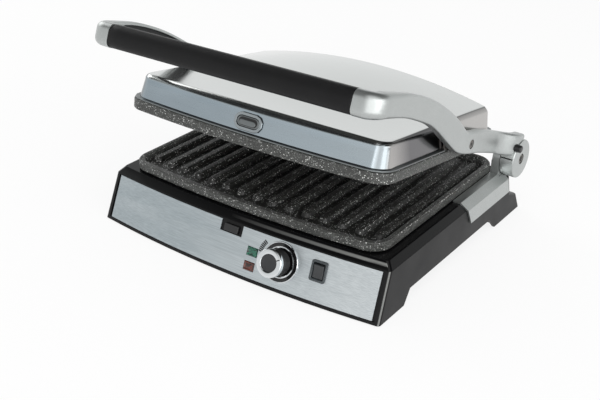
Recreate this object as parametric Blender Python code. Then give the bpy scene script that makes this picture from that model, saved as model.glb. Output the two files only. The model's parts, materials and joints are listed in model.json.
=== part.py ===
"""A contact grill for sandwiches: base, floating lid on two arms, and two plates that lift out.

Metres, +Z up. The base is laid out with Y = 0 at its bottom front corners, X = 0 in its middle
plane, and Z = 0 on the table. The arms and the lid are laid out as they lie when the grill is
shut, each in its own frame, and are then raised to the open pose by two angles.
"""

import math

import bmesh
import bpy
from mathutils import Matrix, Vector

# Open pose
ARMS_RAISED = math.radians(21.0)
LID_RAISED = math.radians(8.8)
LID_FLOAT = 0.0112  # how far the lid has slid forward on its pivot bushes

# Fits shared by many pieces
SEAT_GAP = 0.0003  # between touching pieces
RUNNING_GAP = 0.0006  # between pieces that move on each other
OVERRUN = 0.002  # how far a cut runs past what it cuts
PANEL_WALL = 0.0026  # moulded walls
SHEET = 0.0006  # pressed sheet metal
BEVEL = 0.0008  # edges of small moulded blocks

# Base housing
BASE_HALF_WIDTH = 0.1616
BASE_DEPTH = 0.2789
DECK_HEIGHT = 0.0517
SHOULDER_HEIGHT = 0.0455
SIDE_DRAFT = 0.002
SHOULDER_WIDTH = 0.006
FRONT_RAKE = 0.0185
SHOULDER_RAKE = 0.0054
FRONT_BOW = 0.0109
FRONT_BOW_AT_SHOULDER = 0.00965
SKIRT_BOTTOM = 0.0012
REAR_SKIRT_TOP = 0.018
REAR_SKIRT_LEAN = 0.0084
REAR_SHELF_TOP = 0.024
REAR_SHELF_SETBACK = 0.0239
REAR_WALL_LEAN = 0.0045
REAR_EDGE_LEAN = 0.003
FRONT_CORNER_RADIUS = 0.003
REAR_CORNER_RADIUS = 0.005
FRONT_STEPS = 14
CORNER_STEPS = 4

# Gap under each side, between the front and the rear skirt
SIDE_GAP_FRONT = 0.0414
SIDE_GAP_REAR = 0.2196
SIDE_GAP_HEIGHT = 0.014
SIDE_GAP_FRONT_SLANT = 0.0106
SIDE_GAP_REAR_SLANT = 0.0126

# Floor, its posts and screws, and the feet
FLOOR_BOTTOM = 0.0145
FLOOR_THICKNESS = 0.002
TRAY_BOTTOM = 0.003
TRAY_WALL = 0.0016
TRAY_FRONT_END = 0.0405
TRAY_REAR_START = 0.2215
POST_RADIUS = 0.0045
POST_X = 0.146
POST_FRONT_Y = 0.056
POST_REAR_Y = 0.206
SCREW_RADIUS = 0.0016
SCREW_HEAD_RADIUS = 0.0034
SCREW_HEAD_HEIGHT = 0.0018
SCREW_LENGTH = 0.014
FOOT_RADIUS = 0.0085
FOOT_TAPER = 0.0015
FOOT_X = 0.128
FOOT_FRONT_Y = 0.024
FOOT_REAR_Y = 0.255

# Steel front panel in its recess
PANEL_THICKNESS = 0.0008
PANEL_RECESS = 0.0012
PANEL_BOTTOM = 0.0042
PANEL_TOP = 0.0442
PANEL_HALF_WIDTH = 0.1538
PANEL_TOP_NARROWING = 0.0012
RECESS_MARGIN = 0.0024

# Cooking plates, which share one outline
PLATE_HALF_WIDTH = 0.145
PLATE_DEPTH = 0.220
PLATE_FRONT = 0.02565
PLATE_BOW = 0.008
PLATE_RADIUS = 0.020
PLATE_EDGE = 0.0008
PLATE_RIM = 0.0055
PLATE_POCKET = 0.0056
PLATE_POCKET_SLOPE = 0.0022
LOWER_PLATE_HEIGHT = 0.0083
UPPER_PLATE_HEIGHT = 0.010
PLATES_GAP = 0.0006  # between the two rims when the grill is shut
RIB_COUNT = 15
RIB_PITCH = 0.0185
RIB_WIDTH = 0.0105
RIB_TOP_WIDTH = 0.0062
RIB_BELOW_RIM = 0.0014
RIB_FRONT_SETBACK = 0.0190
RIB_REAR_SETBACK = 0.0165
RIB_END_STEPS = 4

# Reflector pans and heating elements
PAN_HALF_WIDTH = 0.131
PAN_FRONT_SETBACK = 0.0135
PAN_REAR_SETBACK = 0.0190
PAN_RADIUS = 0.012
PAN_FLANGE = 0.0055
PAN_DEPTH = 0.0118
ELEMENT_RADIUS = 0.0032
ELEMENT_HALF_WIDTH = 0.102
ELEMENT_FRONT_SETBACK = 0.046
ELEMENT_REAR_SETBACK = 0.046
ELEMENT_BEND = 0.024
ELEMENT_BEND_STEPS = 6
ELEMENT_TERMINAL_X = 0.024
ELEMENT_TAIL = 0.013
ELEMENT_TAIL_BEND = 0.007
ELEMENT_LIFT = 0.0030  # from the pan's floor to the tube
CLIP_LENGTH = 0.010
CLIP_WIDTH = 0.008

# Hinge axis, towers and pins
HINGE_Y = 0.250
HINGE_Z = 0.067
KNUCKLE_RADIUS = 0.0195
TOWER_CLEARANCE = 0.0008  # between a plate's side and the tower
KNUCKLE_OUTER = 0.154
BOSS_OUTER = 0.1685
PIN_RADIUS = 0.005
PIN_INSET = 0.0004  # from the boss's end face to the pin's end
PIN_DIMPLE_RADIUS = 0.0026
PIN_DIMPLE = 0.0022
SADDLE_THICKNESS = 0.0016
SADDLE_FRONT_Y = 0.1525
SADDLE_REAR_Y = 0.2400
SADDLE_BOTTOM = 0.0305
SADDLE_FRONT_SLANT = 0.010
SADDLE_CORNER = 0.005
NECK_REAR_Y = 0.263

# Arms, in the frame of the hinge axis with the grill shut
ARM_CLEARANCE = 0.0012  # between a plate's side and the arm
ARM_THICKNESS = 0.009
ARM_EDGE = 0.0022
ARM_END_EDGE = 0.0045
ARM_REACH = 0.288  # from the hinge axis to the front of the arm
ARM_TOP = (  # side view, as (distance ahead of the hinge axis, height over it)
    (0.000, 0.0228),
    (0.036, 0.0228),
    (0.076, 0.0230),
    (0.098, 0.0206),
    (0.111, 0.0196),
    (0.118, 0.0222),
    (0.132, 0.0280),
    (0.151, 0.0345),
    (0.170, 0.0392),
    (0.192, 0.0434),
    (0.215, 0.0458),
    (0.236, 0.0462),
    (0.256, 0.0448),
    (0.276, 0.0430),
    (0.288, 0.0424),
)
ARM_BOTTOM = (
    (0.000, 0.0010),
    (0.044, 0.0010),
    (0.076, 0.0008),
    (0.098, -0.0008),
    (0.115, -0.0010),
    (0.127, 0.0007),
    (0.140, 0.0050),
    (0.156, 0.0108),
    (0.173, 0.0170),
    (0.192, 0.0222),
    (0.221, 0.0252),
    (0.240, 0.0260),
    (0.262, 0.0242),
    (0.288, 0.0204),
)
ARM_CORNER_RADIUS = 0.017
ARM_END_THICKNESS = 0.0175
ARM_TAPER_START = 0.235
ARM_FLARE_START = 0.040
ARM_FLARE_END = 0.013
ARM_PLACES = (0.062, 0.090, 0.104, 0.111, 0.118, 0.127, 0.137, 0.148, 0.160, 0.173, 0.188, 0.205, 0.225, 0.248)
BOSS_EDGE = 0.0012

# Grip between the arms
GRIP_HALF_LENGTH = 0.130
GRIP_DEPTH = 0.0185
GRIP_HEIGHT = 0.0215
GRIP_NOSE_SHARE = 0.42
GRIP_CORE_RADIUS = 0.0046
GRIP_CORE_SOCKET = 0.010
GRIP_STEPS = 6

# Lock slider in the right boss
LOCK_ANGLE = math.radians(148)
LOCK_MOUTH_TURN = math.radians(15)
LOCK_RADIUS = 0.0037
LOCK_RISE = -0.0004  # of its middle line over the boss's radius
LOCK_REACH = 0.1725
LOCK_INNER = 0.157

# Pivot of the lid on the arms
PIVOT_HEIGHT = 0.0142  # pivot above the upper plate's rim
PIVOT_RADIUS_FROM_HINGE = 0.100
PIVOT_SCREW_RADIUS = 0.0017
PIVOT_HEAD_RADIUS = 0.0042
PIVOT_HEAD_HEIGHT = 0.0018
BUSH_RADIUS = 0.0027
BUSH_FLANGE_RADIUS = 0.0037
BUSH_FLANGE = 0.0016
LUG_THICKNESS = 0.0022
LUG_HALF_HEIGHT = 0.0078
LUG_FRONT_REACH = 0.024
LUG_REAR_REACH = 0.012
LUG_FOOT = 0.0022

# Lid: frame, cover and latch, in the frame of the upper plate
LID_FRAME_HEIGHT = 0.0013
LID_FRAME_INSET = 0.0008
LID_FRAME_WIDTH = 0.0125
COVER_INSET = 0.0044
COVER_FRONT_SETBACK = 0.0050
COVER_REAR_SETBACK = 0.0115
COVER_RADIUS = 0.017
COVER_REAR_RADIUS = 0.009
COVER_SIDE_HEIGHT = 0.0165
COVER_SIDE_LEAN = 0.0024
COVER_FRONT_LEAN = 0.0045
COVER_FOLD = 0.0046
COVER_CROWN = 0.0165
COVER_CROWN_FRONT_SHARE = 0.12
COVER_WALL = 0.0012
COVER_RING_SHARES = (0.80, 0.58, 0.36, 0.14)
COVER_SIDE_STEPS = 5
COVER_REAR_STEPS = 10
FOLD_STEPS = 3
LATCH_HEIGHT = 0.0205  # of the button above the upper plate's rim
LATCH_X = 0.003
LATCH_BEZEL_WIDTH = 0.0315
LATCH_BEZEL_HEIGHT = 0.0162
LATCH_BEZEL_PROUD = 0.0010
LATCH_TUBE_WIDTH = 0.0280
LATCH_TUBE_HEIGHT = 0.0127
LATCH_WALL = 0.0012
LATCH_DEPTH = 0.0042
LATCH_TRAVEL = 0.003
BLADE_HALF_WIDTH = 0.008
BLADE_THICKNESS = 0.0015
STADIUM_STEPS = 5

# Release button of the lower plate
RELEASE_X = -0.002
RELEASE_HALF_WIDTH = 0.0080
RELEASE_HEIGHT = 0.0070
RELEASE_CENTRE_Z = 0.0390
RELEASE_PROUD = 0.0012
RELEASE_LENGTH = 0.013
RELEASE_TRAVEL = 0.003
NOTCH_HALF_WIDTH = 0.0125
NOTCH_DEPTH = 0.0095

# Springs behind the two plate buttons
SPRING_TURNS = 3
SPRING_RADIUS = 0.0026
SPRING_WIRE = 0.0003
SPRING_POINTS_PER_TURN = 9
SPRING_SEAT_THICKNESS = 0.002
SPRING_LENGTH = 0.0047  # with the button pressed home
LATCH_SPRING_LENGTH = 0.0053

# Controls on the front face, by X and height
FACE_SAG = 0.0002  # of the bowed face over the width of a control
KNOB_X = 0.0565
KNOB_Z = 0.0262
DISH_RADIUS = 0.0162
DISH_HEIGHT = 0.0028
DISH_RIM = 0.0012
DISH_FLOOR = 0.0010
KNOB_RADIUS = 0.0118
KNOB_RING_RADIUS = 0.0129
KNOB_FACE_RADIUS = 0.0098
KNOB_HEIGHT = 0.0178
KNOB_RING_HEIGHT = 0.0046
KNOB_RING_PROUD = 0.0012
SHAFT_RADIUS = 0.0028
SHAFT_IN_KNOB = 0.009
THERMOSTAT_WIDTH = 0.024
THERMOSTAT_DEPTH = 0.013
LAMP_X = 0.0258
LAMP_Z_GREEN = 0.0264
LAMP_Z_RED = 0.0140
LAMP_WIDTH = 0.0110
LAMP_HEIGHT = 0.0078
LAMP_PROUD = 0.0007
LAMP_DEPTH = 0.0048
LAMP_HOLDER_DEPTH = 0.009
SWITCH_X = 0.0955
SWITCH_Z = 0.0293
SWITCH_WIDTH = 0.0156
SWITCH_HEIGHT = 0.0190
SWITCH_FLANGE = 0.0014
SWITCH_WALL = 0.0009
SWITCH_FLANGE_PROUD = 0.0010
SWITCH_DEPTH = 0.012
SWITCH_POCKET = 0.006
ROCKER_ANGLE = math.radians(7)
ROCKER_PIVOT_DEPTH = 0.0022

# Mains side
GLAND_X = -0.110
GLAND_Z = 0.034
GLAND_RADIUS = 0.0062
GLAND_FLANGE_RADIUS = 0.0085
GLAND_BORE = 0.0036
GLAND_FLANGE = 0.0022
TERMINAL_WIDTH = 0.040
TERMINAL_DEPTH = 0.018
TERMINAL_HEIGHT = 0.013
TERMINAL_X = -0.060
TERMINAL_Y = 0.225
FUSE_RADIUS = 0.0022
FUSE_LENGTH = 0.020

# Rear clips that hold the plates
REAR_CLIP_WIDTH = 0.120
REAR_CLIP_THICKNESS = 0.0011
REAR_CLIP_HEIGHT = 0.0052

SIDES = (("left", -1), ("right", 1))
ROUND_STEPS = 32
SMALL_ROUND_STEPS = 16

# Places that follow from the sizes above
DECK_TO_PLATE = SEAT_GAP + SHEET + SEAT_GAP
LOWER_RIM_Z = DECK_HEIGHT + DECK_TO_PLATE + LOWER_PLATE_HEIGHT
UPPER_RIM_Z = LOWER_RIM_Z + PLATES_GAP
PIVOT_UP = UPPER_RIM_Z + PIVOT_HEIGHT - HINGE_Z
PIVOT_AHEAD = math.sqrt(PIVOT_RADIUS_FROM_HINGE**2 - PIVOT_UP**2)
PIVOT_SETBACK = HINGE_Y - PIVOT_AHEAD - PLATE_FRONT  # from the plate's front, grill shut
TOWER_INNER = PLATE_HALF_WIDTH + TOWER_CLEARANCE
ARM_INNER = PLATE_HALF_WIDTH + ARM_CLEARANCE
ARM_OUTER = ARM_INNER + ARM_THICKNESS
BOSS_INNER = KNUCKLE_OUTER + SEAT_GAP
FRONT_ANGLE = math.atan2(FRONT_RAKE, SHOULDER_HEIGHT)
FLOOR_TOP = FLOOR_BOTTOM + FLOOR_THICKNESS
LID_FRAME_BOTTOM = UPPER_PLATE_HEIGHT + SEAT_GAP
LID_FRAME_TOP = LID_FRAME_BOTTOM + LID_FRAME_HEIGHT
COVER_BOTTOM = LID_FRAME_TOP + SEAT_GAP


def material(name, colour, roughness, metallic=0.0, alpha=1.0):
    """A plain Principled material."""
    made = bpy.data.materials.new(name)
    made.use_nodes = True
    shader = made.node_tree.nodes["Principled BSDF"]
    shader.inputs["Base Color"].default_value = (*colour, 1.0)
    shader.inputs["Roughness"].default_value = roughness
    shader.inputs["Metallic"].default_value = metallic
    shader.inputs["Alpha"].default_value = alpha
    return made


def empty(name, parent=None, matrix=None):
    """A frame that pieces hang from."""
    made = bpy.data.objects.new(name, None)
    bpy.context.collection.objects.link(made)
    made.parent = parent
    if matrix is not None:
        made.matrix_basis = matrix
    return made


def place(name, bm, surface, parent, smooth=False):
    """Turn a closed bmesh into a named object under its parent."""
    bmesh.ops.recalc_face_normals(bm, faces=bm.faces)
    mesh = bpy.data.meshes.new(name)
    bm.to_mesh(mesh)
    bm.free()
    if smooth:
        mesh.shade_smooth()
        mesh.set_sharp_from_angle(angle=math.radians(32))
    made = bpy.data.objects.new(name, mesh)
    bpy.context.collection.objects.link(made)
    made.parent = parent
    if surface is not None:
        mesh.materials.append(surface)
    return made


def place_copies(prefix, bm, surface, parent, places):
    """Place one shape several times, each copy its own object with the mesh shared."""
    first = None
    for suffix, position in places:
        if first is None:
            first = place(f"{prefix}_{suffix}", bm, surface, parent, smooth=True)
            first.location = position
            continue
        made = bpy.data.objects.new(f"{prefix}_{suffix}", first.data)
        bpy.context.collection.objects.link(made)
        made.parent = parent
        made.location = position


def corner_places(half_width, front_y, rear_y, z=0.0):
    """Names and places of four copies, two in front and two behind."""
    return [
        (f"{end}_{side}", (sign * half_width, y, z))
        for end, y in (("front", front_y), ("rear", rear_y))
        for side, sign in SIDES
    ]


def boolean(target, bm, operation, name):
    """Cut a closed bmesh from a piece, or join it on."""
    cutter = place(name, bm, None, target.parent)
    cutter.hide_render = True
    cutter.display_type = "WIRE"
    step = target.modifiers.new(name, "BOOLEAN")
    step.operation = operation
    step.object = cutter
    return target


def cut(target, bm, name):
    """Take a closed shape out of a piece."""
    return boolean(target, bm, "DIFFERENCE", name)


def join(target, bm, name):
    """Join a closed shape to a piece."""
    return boolean(target, bm, "UNION", name)


def merged(*parts):
    """One bmesh that holds several separate shapes."""
    whole = bmesh.new()
    for part in parts:
        mesh = bpy.data.meshes.new("part")
        part.to_mesh(mesh)
        part.free()
        whole.from_mesh(mesh)
        bpy.data.meshes.remove(mesh)
    return whole


def loft(rings, closed=False):
    """Skin rings of points that have one count, and cap both ends or run back to the first."""
    bm = bmesh.new()
    made = [[bm.verts.new(point) for point in ring] for ring in rings]
    pairs = list(zip(made, made[1:]))
    if closed:
        pairs.append((made[-1], made[0]))
    for low, high in pairs:
        for index in range(len(low)):
            after = (index + 1) % len(low)
            bm.faces.new((low[index], low[after], high[after], high[index]))
    if not closed:
        bm.faces.new(reversed(made[0]))
        bm.faces.new(made[-1])
    return bm


def box(low, high):
    """A block between two corners."""
    bm = bmesh.new()
    size = Vector(high) - Vector(low)
    middle = (Vector(high) + Vector(low)) / 2
    bmesh.ops.create_cube(bm, size=1.0, matrix=Matrix.Translation(middle) @ Matrix.Diagonal((*size, 1)))
    return bm


def bevelled_box(low, high, width=BEVEL):
    """A block whose edges are broken."""
    bm = box(low, high)
    bmesh.ops.bevel(bm, geom=list(bm.edges), offset=width, segments=1, affect="EDGES")
    return bm


def ring_of_circle(axis, centre, radius, along, steps=ROUND_STEPS):
    """Points of a circle about an axis line through centre, at a place along it."""
    side, up = {"X": ((0, 1, 0), (0, 0, 1)), "Y": ((0, 0, 1), (1, 0, 0)), "Z": ((1, 0, 0), (0, 1, 0))}[axis]
    ahead = Vector(side).cross(Vector(up))
    return [
        Vector(centre)
        + ahead * along
        + Vector(side) * radius * math.cos(math.tau * step / steps)
        + Vector(up) * radius * math.sin(math.tau * step / steps)
        for step in range(steps)
    ]


def turned(axis, centre, profile, steps=ROUND_STEPS):
    """A solid turned about an axis from (along, radius) pairs."""
    return loft([ring_of_circle(axis, centre, radius, along, steps) for along, radius in profile])


def turned_ring(axis, centre, profile, steps=ROUND_STEPS):
    """A ring turned about an axis from a closed run of (along, radius) pairs."""
    return loft([ring_of_circle(axis, centre, radius, along, steps) for along, radius in profile], closed=True)


def rod(axis, centre, radius, low, high, steps=SMALL_ROUND_STEPS):
    """A plain cylinder from low to high along its axis."""
    return turned(axis, centre, ((low, radius), (high, radius)), steps)


def bowed_ring(half, front, rear, bow, front_radius, rear_radius, z, side_steps=1, rear_steps=1):
    """A rounded rectangle whose front edge swells forward by bow, as points at height z."""

    def front_edge(x):
        return front - bow * (1 - (x / half) ** 2)

    reach = half - front_radius
    points = [
        Vector((-reach + 2 * reach * step / FRONT_STEPS, front_edge(-reach + 2 * reach * step / FRONT_STEPS), z))
        for step in range(FRONT_STEPS + 1)
    ]
    corners = (
        (reach, front_edge(reach) + front_radius, front_radius, -90, side_steps),
        (half - rear_radius, rear - rear_radius, rear_radius, 0, rear_steps),
        (-half + rear_radius, rear - rear_radius, rear_radius, 90, side_steps),
        (-reach, front_edge(reach) + front_radius, front_radius, 180, 0),
    )
    for place_in_order, (x, y, radius, start, edge_steps) in enumerate(corners):
        first = 1 if start == -90 else 0
        last = CORNER_STEPS - 1 if start == 180 else CORNER_STEPS
        for step in range(first, last + 1):
            angle = math.radians(start + 90 * step / CORNER_STEPS)
            points.append(Vector((x + radius * math.cos(angle), y + radius * math.sin(angle), z)))
        if edge_steps > 1:
            x_next, y_next, next_radius, next_start, _ = corners[place_in_order + 1]
            angle = math.radians(next_start)
            end = Vector((x_next + next_radius * math.cos(angle), y_next + next_radius * math.sin(angle), z))
            begin = points[-1]
            points += [begin.lerp(end, step / edge_steps) for step in range(1, edge_steps)]
    return points


def prism_x(outline, low, high):
    """An outline of (y, z) pairs run from low to high along X."""
    return loft([[Vector((x, y, z)) for y, z in outline] for x in (low, high)])


def prism_y(outline, low, high):
    """An outline of (x, z) pairs run from low to high along Y."""
    return loft([[Vector((x, y, z)) for x, z in outline] for y in (low, high)])


def prism_z(outline, low, high):
    """An outline of (x, y) pairs run from low to high along Z."""
    return loft([[Vector((x, y, z)) for x, y in outline] for z in (low, high)])


def stadium(width, height, steps=STADIUM_STEPS):
    """A slot outline, round at both ends of its width, about zero."""
    radius = height / 2
    reach = width / 2 - radius
    points = []
    for side, start in ((reach, -90), (-reach, 90)):
        for step in range(steps + 1):
            angle = math.radians(start + 180 * step / steps)
            points.append((side + radius * math.cos(angle), radius * math.sin(angle)))
    return points


def mirrored(bm):
    """Reflect a shape in the middle plane."""
    bmesh.ops.scale(bm, vec=(-1, 1, 1), verts=bm.verts)
    bmesh.ops.reverse_faces(bm, faces=bm.faces)
    return bm


def sided(bm, side):
    """The shape itself on the right, its mirror image on the left."""
    return bm if side > 0 else mirrored(bm)


def rise(z):
    """Share of the way up to the shoulder, and then from the shoulder to the deck."""
    if z <= SHOULDER_HEIGHT:
        return z / SHOULDER_HEIGHT, 0.0
    return 1.0, (z - SHOULDER_HEIGHT) / (DECK_HEIGHT - SHOULDER_HEIGHT)


def base_half_width(z):
    """Half width of the housing at a height."""
    side, shoulder = rise(z)
    return BASE_HALF_WIDTH - SIDE_DRAFT * side - SHOULDER_WIDTH * shoulder


def base_front(z):
    """Y of the housing's front corners at a height."""
    side, shoulder = rise(z)
    return FRONT_RAKE * side + SHOULDER_RAKE * shoulder


def base_bow(z):
    """How far the front swells forward at a height."""
    side = rise(z)[0]
    return FRONT_BOW + (FRONT_BOW_AT_SHOULDER - FRONT_BOW) * side


def base_rear(z):
    """Y of the housing's rear face at a height."""
    shelf = BASE_DEPTH - REAR_SHELF_SETBACK
    wall_top = shelf - REAR_WALL_LEAN
    steps = (
        (SKIRT_BOTTOM, BASE_DEPTH),
        (REAR_SKIRT_TOP, BASE_DEPTH - REAR_SKIRT_LEAN),
        (REAR_SHELF_TOP, shelf),
        (SHOULDER_HEIGHT, wall_top),
        (DECK_HEIGHT, wall_top - REAR_EDGE_LEAN),
    )
    for (low, y_low), (high, y_high) in zip(steps, steps[1:]):
        if z <= high:
            return y_low + (y_high - y_low) * max(0.0, (z - low) / (high - low))
    return steps[-1][1]


def front_face(x, z):
    """Y of the housing's bowed and raked front face."""
    return base_front(z) - base_bow(z) * (1 - (x / base_half_width(z)) ** 2)


def base_ring(z, inset=0.0):
    """The housing's outline at a height, moved in by inset."""
    return bowed_ring(
        base_half_width(z) - inset,
        base_front(z) + inset,
        base_rear(z) - inset,
        base_bow(z),
        FRONT_CORNER_RADIUS,
        REAR_CORNER_RADIUS,
        z,
    )


def face_frame(name, x, z, parent):
    """A frame on the front face: X along it, Y straight in, Z up its slope."""
    step = SKIRT_BOTTOM
    across = Vector((2 * step, front_face(x + step, z) - front_face(x - step, z), 0)).normalized()
    up = Vector((0, front_face(x, z + step) - front_face(x, z - step), 2 * step))
    inward = up.cross(across).normalized()
    up = across.cross(inward)
    turn = Matrix((across, inward, up)).transposed().to_4x4()
    return empty(name, parent, Matrix.Translation((x, front_face(x, z), z)) @ turn)


def face_slab(half_bottom, half_top, bottom, top, outer, inner):
    """A slab that follows the bowed front face between two depths below it."""
    rings = []
    columns = 2 * FRONT_STEPS
    for column in range(columns + 1):
        share = 2 * column / columns - 1
        low = half_bottom * share
        high = half_top * share
        corners = ((low, bottom, outer), (low, bottom, inner), (high, top, inner), (high, top, outer))
        rings.append([Vector((x, front_face(x, z) + depth / math.cos(FRONT_ANGLE), z)) for x, z, depth in corners])
    return loft(rings)


def add_housing(surface, base):
    """Moulded housing: raked bowed front, chamfered shoulders, rear shelf, open below."""
    heights = (SKIRT_BOTTOM, REAR_SKIRT_TOP, REAR_SHELF_TOP, SHOULDER_HEIGHT, DECK_HEIGHT)
    outer = [base_ring(z) for z in heights]
    inner_heights = (SKIRT_BOTTOM, REAR_SKIRT_TOP, REAR_SHELF_TOP, SHOULDER_HEIGHT)
    inner = [base_ring(z, PANEL_WALL) for z in inner_heights]
    ceiling = DECK_HEIGHT - PANEL_WALL
    roof = [Vector((p.x, p.y, ceiling)) for p in base_ring(ceiling, PANEL_WALL + SHOULDER_WIDTH / 4)]
    housing = place("base_housing", loft([roof] + inner[::-1] + outer), surface, base)
    join(housing, add_posts(), "post_shapes")
    cut(housing, post_bores(), "post_bores")
    cut(housing, side_gap(), "side_gap")
    cut(housing, deck_opening(), "deck_opening")
    recess = face_slab(
        PANEL_HALF_WIDTH + RECESS_MARGIN,
        PANEL_HALF_WIDTH - PANEL_TOP_NARROWING + RECESS_MARGIN,
        PANEL_BOTTOM - SEAT_GAP,
        PANEL_TOP + SEAT_GAP,
        -OVERRUN,
        PANEL_RECESS,
    )
    cut(housing, recess, "panel_recess")
    rooms = [sided(boss_room(), sign) for _, sign in SIDES]
    cut(housing, merged(*rooms), "boss_rooms")
    return housing


def post_places():
    """Names and centres of the housing's screw posts."""
    return corner_places(POST_X, POST_FRONT_Y, POST_REAR_Y)


def add_posts():
    """Posts that the floor is screwed to."""
    top = DECK_HEIGHT - PANEL_WALL / 2
    return merged(*[rod("Z", centre, POST_RADIUS, FLOOR_TOP + SEAT_GAP, top) for _, centre in post_places()])


def post_bores():
    """Blind bores for the base screws."""
    radius = SCREW_RADIUS + SEAT_GAP
    top = FLOOR_TOP + SCREW_LENGTH
    return merged(*[rod("Z", centre, radius, FLOOR_BOTTOM - OVERRUN, top) for _, centre in post_places()])


def side_gap():
    """The long gap under each side, between the skirts."""
    outline = (
        (SIDE_GAP_FRONT - SIDE_GAP_FRONT_SLANT * OVERRUN / SIDE_GAP_HEIGHT, -OVERRUN + SKIRT_BOTTOM),
        (SIDE_GAP_REAR + SIDE_GAP_REAR_SLANT * OVERRUN / SIDE_GAP_HEIGHT, -OVERRUN + SKIRT_BOTTOM),
        (SIDE_GAP_REAR - SIDE_GAP_REAR_SLANT, SIDE_GAP_HEIGHT),
        (SIDE_GAP_FRONT + SIDE_GAP_FRONT_SLANT, SIDE_GAP_HEIGHT),
    )
    reach = BASE_HALF_WIDTH + OVERRUN
    return prism_x(outline, -reach, reach)


def pan_ring(inset, z):
    """Outline of a reflector pan's mouth, moved in by inset, in the plate's own frame."""
    return bowed_ring(
        PAN_HALF_WIDTH - inset,
        PAN_FRONT_SETBACK + inset,
        PLATE_DEPTH - PAN_REAR_SETBACK - inset,
        0,
        PAN_RADIUS,
        PAN_RADIUS,
        z,
    )


def deck_opening():
    """The opening in the deck that the reflector pan hangs in."""
    rings = []
    for z in (DECK_HEIGHT - PANEL_WALL - OVERRUN, DECK_HEIGHT + OVERRUN):
        rings.append([Vector((p.x, p.y + PLATE_FRONT, p.z)) for p in pan_ring(0, z)])
    return loft(rings)


def tray_rings(inset, low, high):
    """Outlines of the front and the rear tray, or of their hollows, which leave the front open."""
    wall = PANEL_WALL + 2 * SEAT_GAP + inset
    pairs = []
    for rear in (False, True):
        rings = []
        for z in (low, high):
            half = base_half_width(z) - wall
            front = TRAY_REAR_START + inset if rear else base_front(z) + wall - 2 * inset
            back = base_rear(z) - wall if rear else TRAY_FRONT_END - inset
            bow = 0 if rear else base_bow(z)
            rings.append(bowed_ring(half, front, back, bow, FRONT_CORNER_RADIUS, REAR_CORNER_RADIUS, z))
        pairs.append(rings)
    return pairs


def add_floor(surface, steel, rubber, base):
    """Floor plate with a deeper tray at the front and the rear, its screws and its feet."""
    rings = [base_ring(z, PANEL_WALL + SEAT_GAP) for z in (FLOOR_BOTTOM, FLOOR_TOP)]
    floor = place("base_floor", loft(rings), surface, base)
    trays = [loft(pair) for pair in tray_rings(0, TRAY_BOTTOM, FLOOR_TOP - FLOOR_THICKNESS / 2)]
    join(floor, merged(*trays), "tray_shapes")
    hollows = [loft(pair) for pair in tray_rings(TRAY_WALL, TRAY_BOTTOM + TRAY_WALL, FLOOR_TOP + OVERRUN)]
    cut(floor, merged(*hollows), "tray_hollows")
    holes = [
        rod("Z", centre, SCREW_RADIUS + SEAT_GAP, FLOOR_BOTTOM - OVERRUN, FLOOR_TOP + OVERRUN)
        for _, centre in post_places()
    ]
    cut(floor, merged(*holes), "floor_holes")
    head_top = FLOOR_BOTTOM - SEAT_GAP
    profile = (
        (head_top - SCREW_HEAD_HEIGHT, SCREW_HEAD_RADIUS - SCREW_RADIUS / 2),
        (head_top - SCREW_HEAD_HEIGHT / 2, SCREW_HEAD_RADIUS),
        (head_top, SCREW_HEAD_RADIUS),
        (head_top, SCREW_RADIUS),
        (FLOOR_TOP + SCREW_LENGTH - SCREW_RADIUS, SCREW_RADIUS),
    )
    screw = turned("Z", (0, 0, 0), profile, SMALL_ROUND_STEPS)
    place_copies("base_screw", screw, steel, base, post_places())
    foot = (
        (0, FOOT_RADIUS - FOOT_TAPER - BEVEL),
        (BEVEL, FOOT_RADIUS - FOOT_TAPER),
        (TRAY_BOTTOM - SEAT_GAP, FOOT_RADIUS),
    )
    shape = turned("Z", (0, 0, 0), foot, SMALL_ROUND_STEPS)
    place_copies("rubber_foot", shape, rubber, base, corner_places(FOOT_X, FOOT_FRONT_Y, FOOT_REAR_Y))


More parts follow.
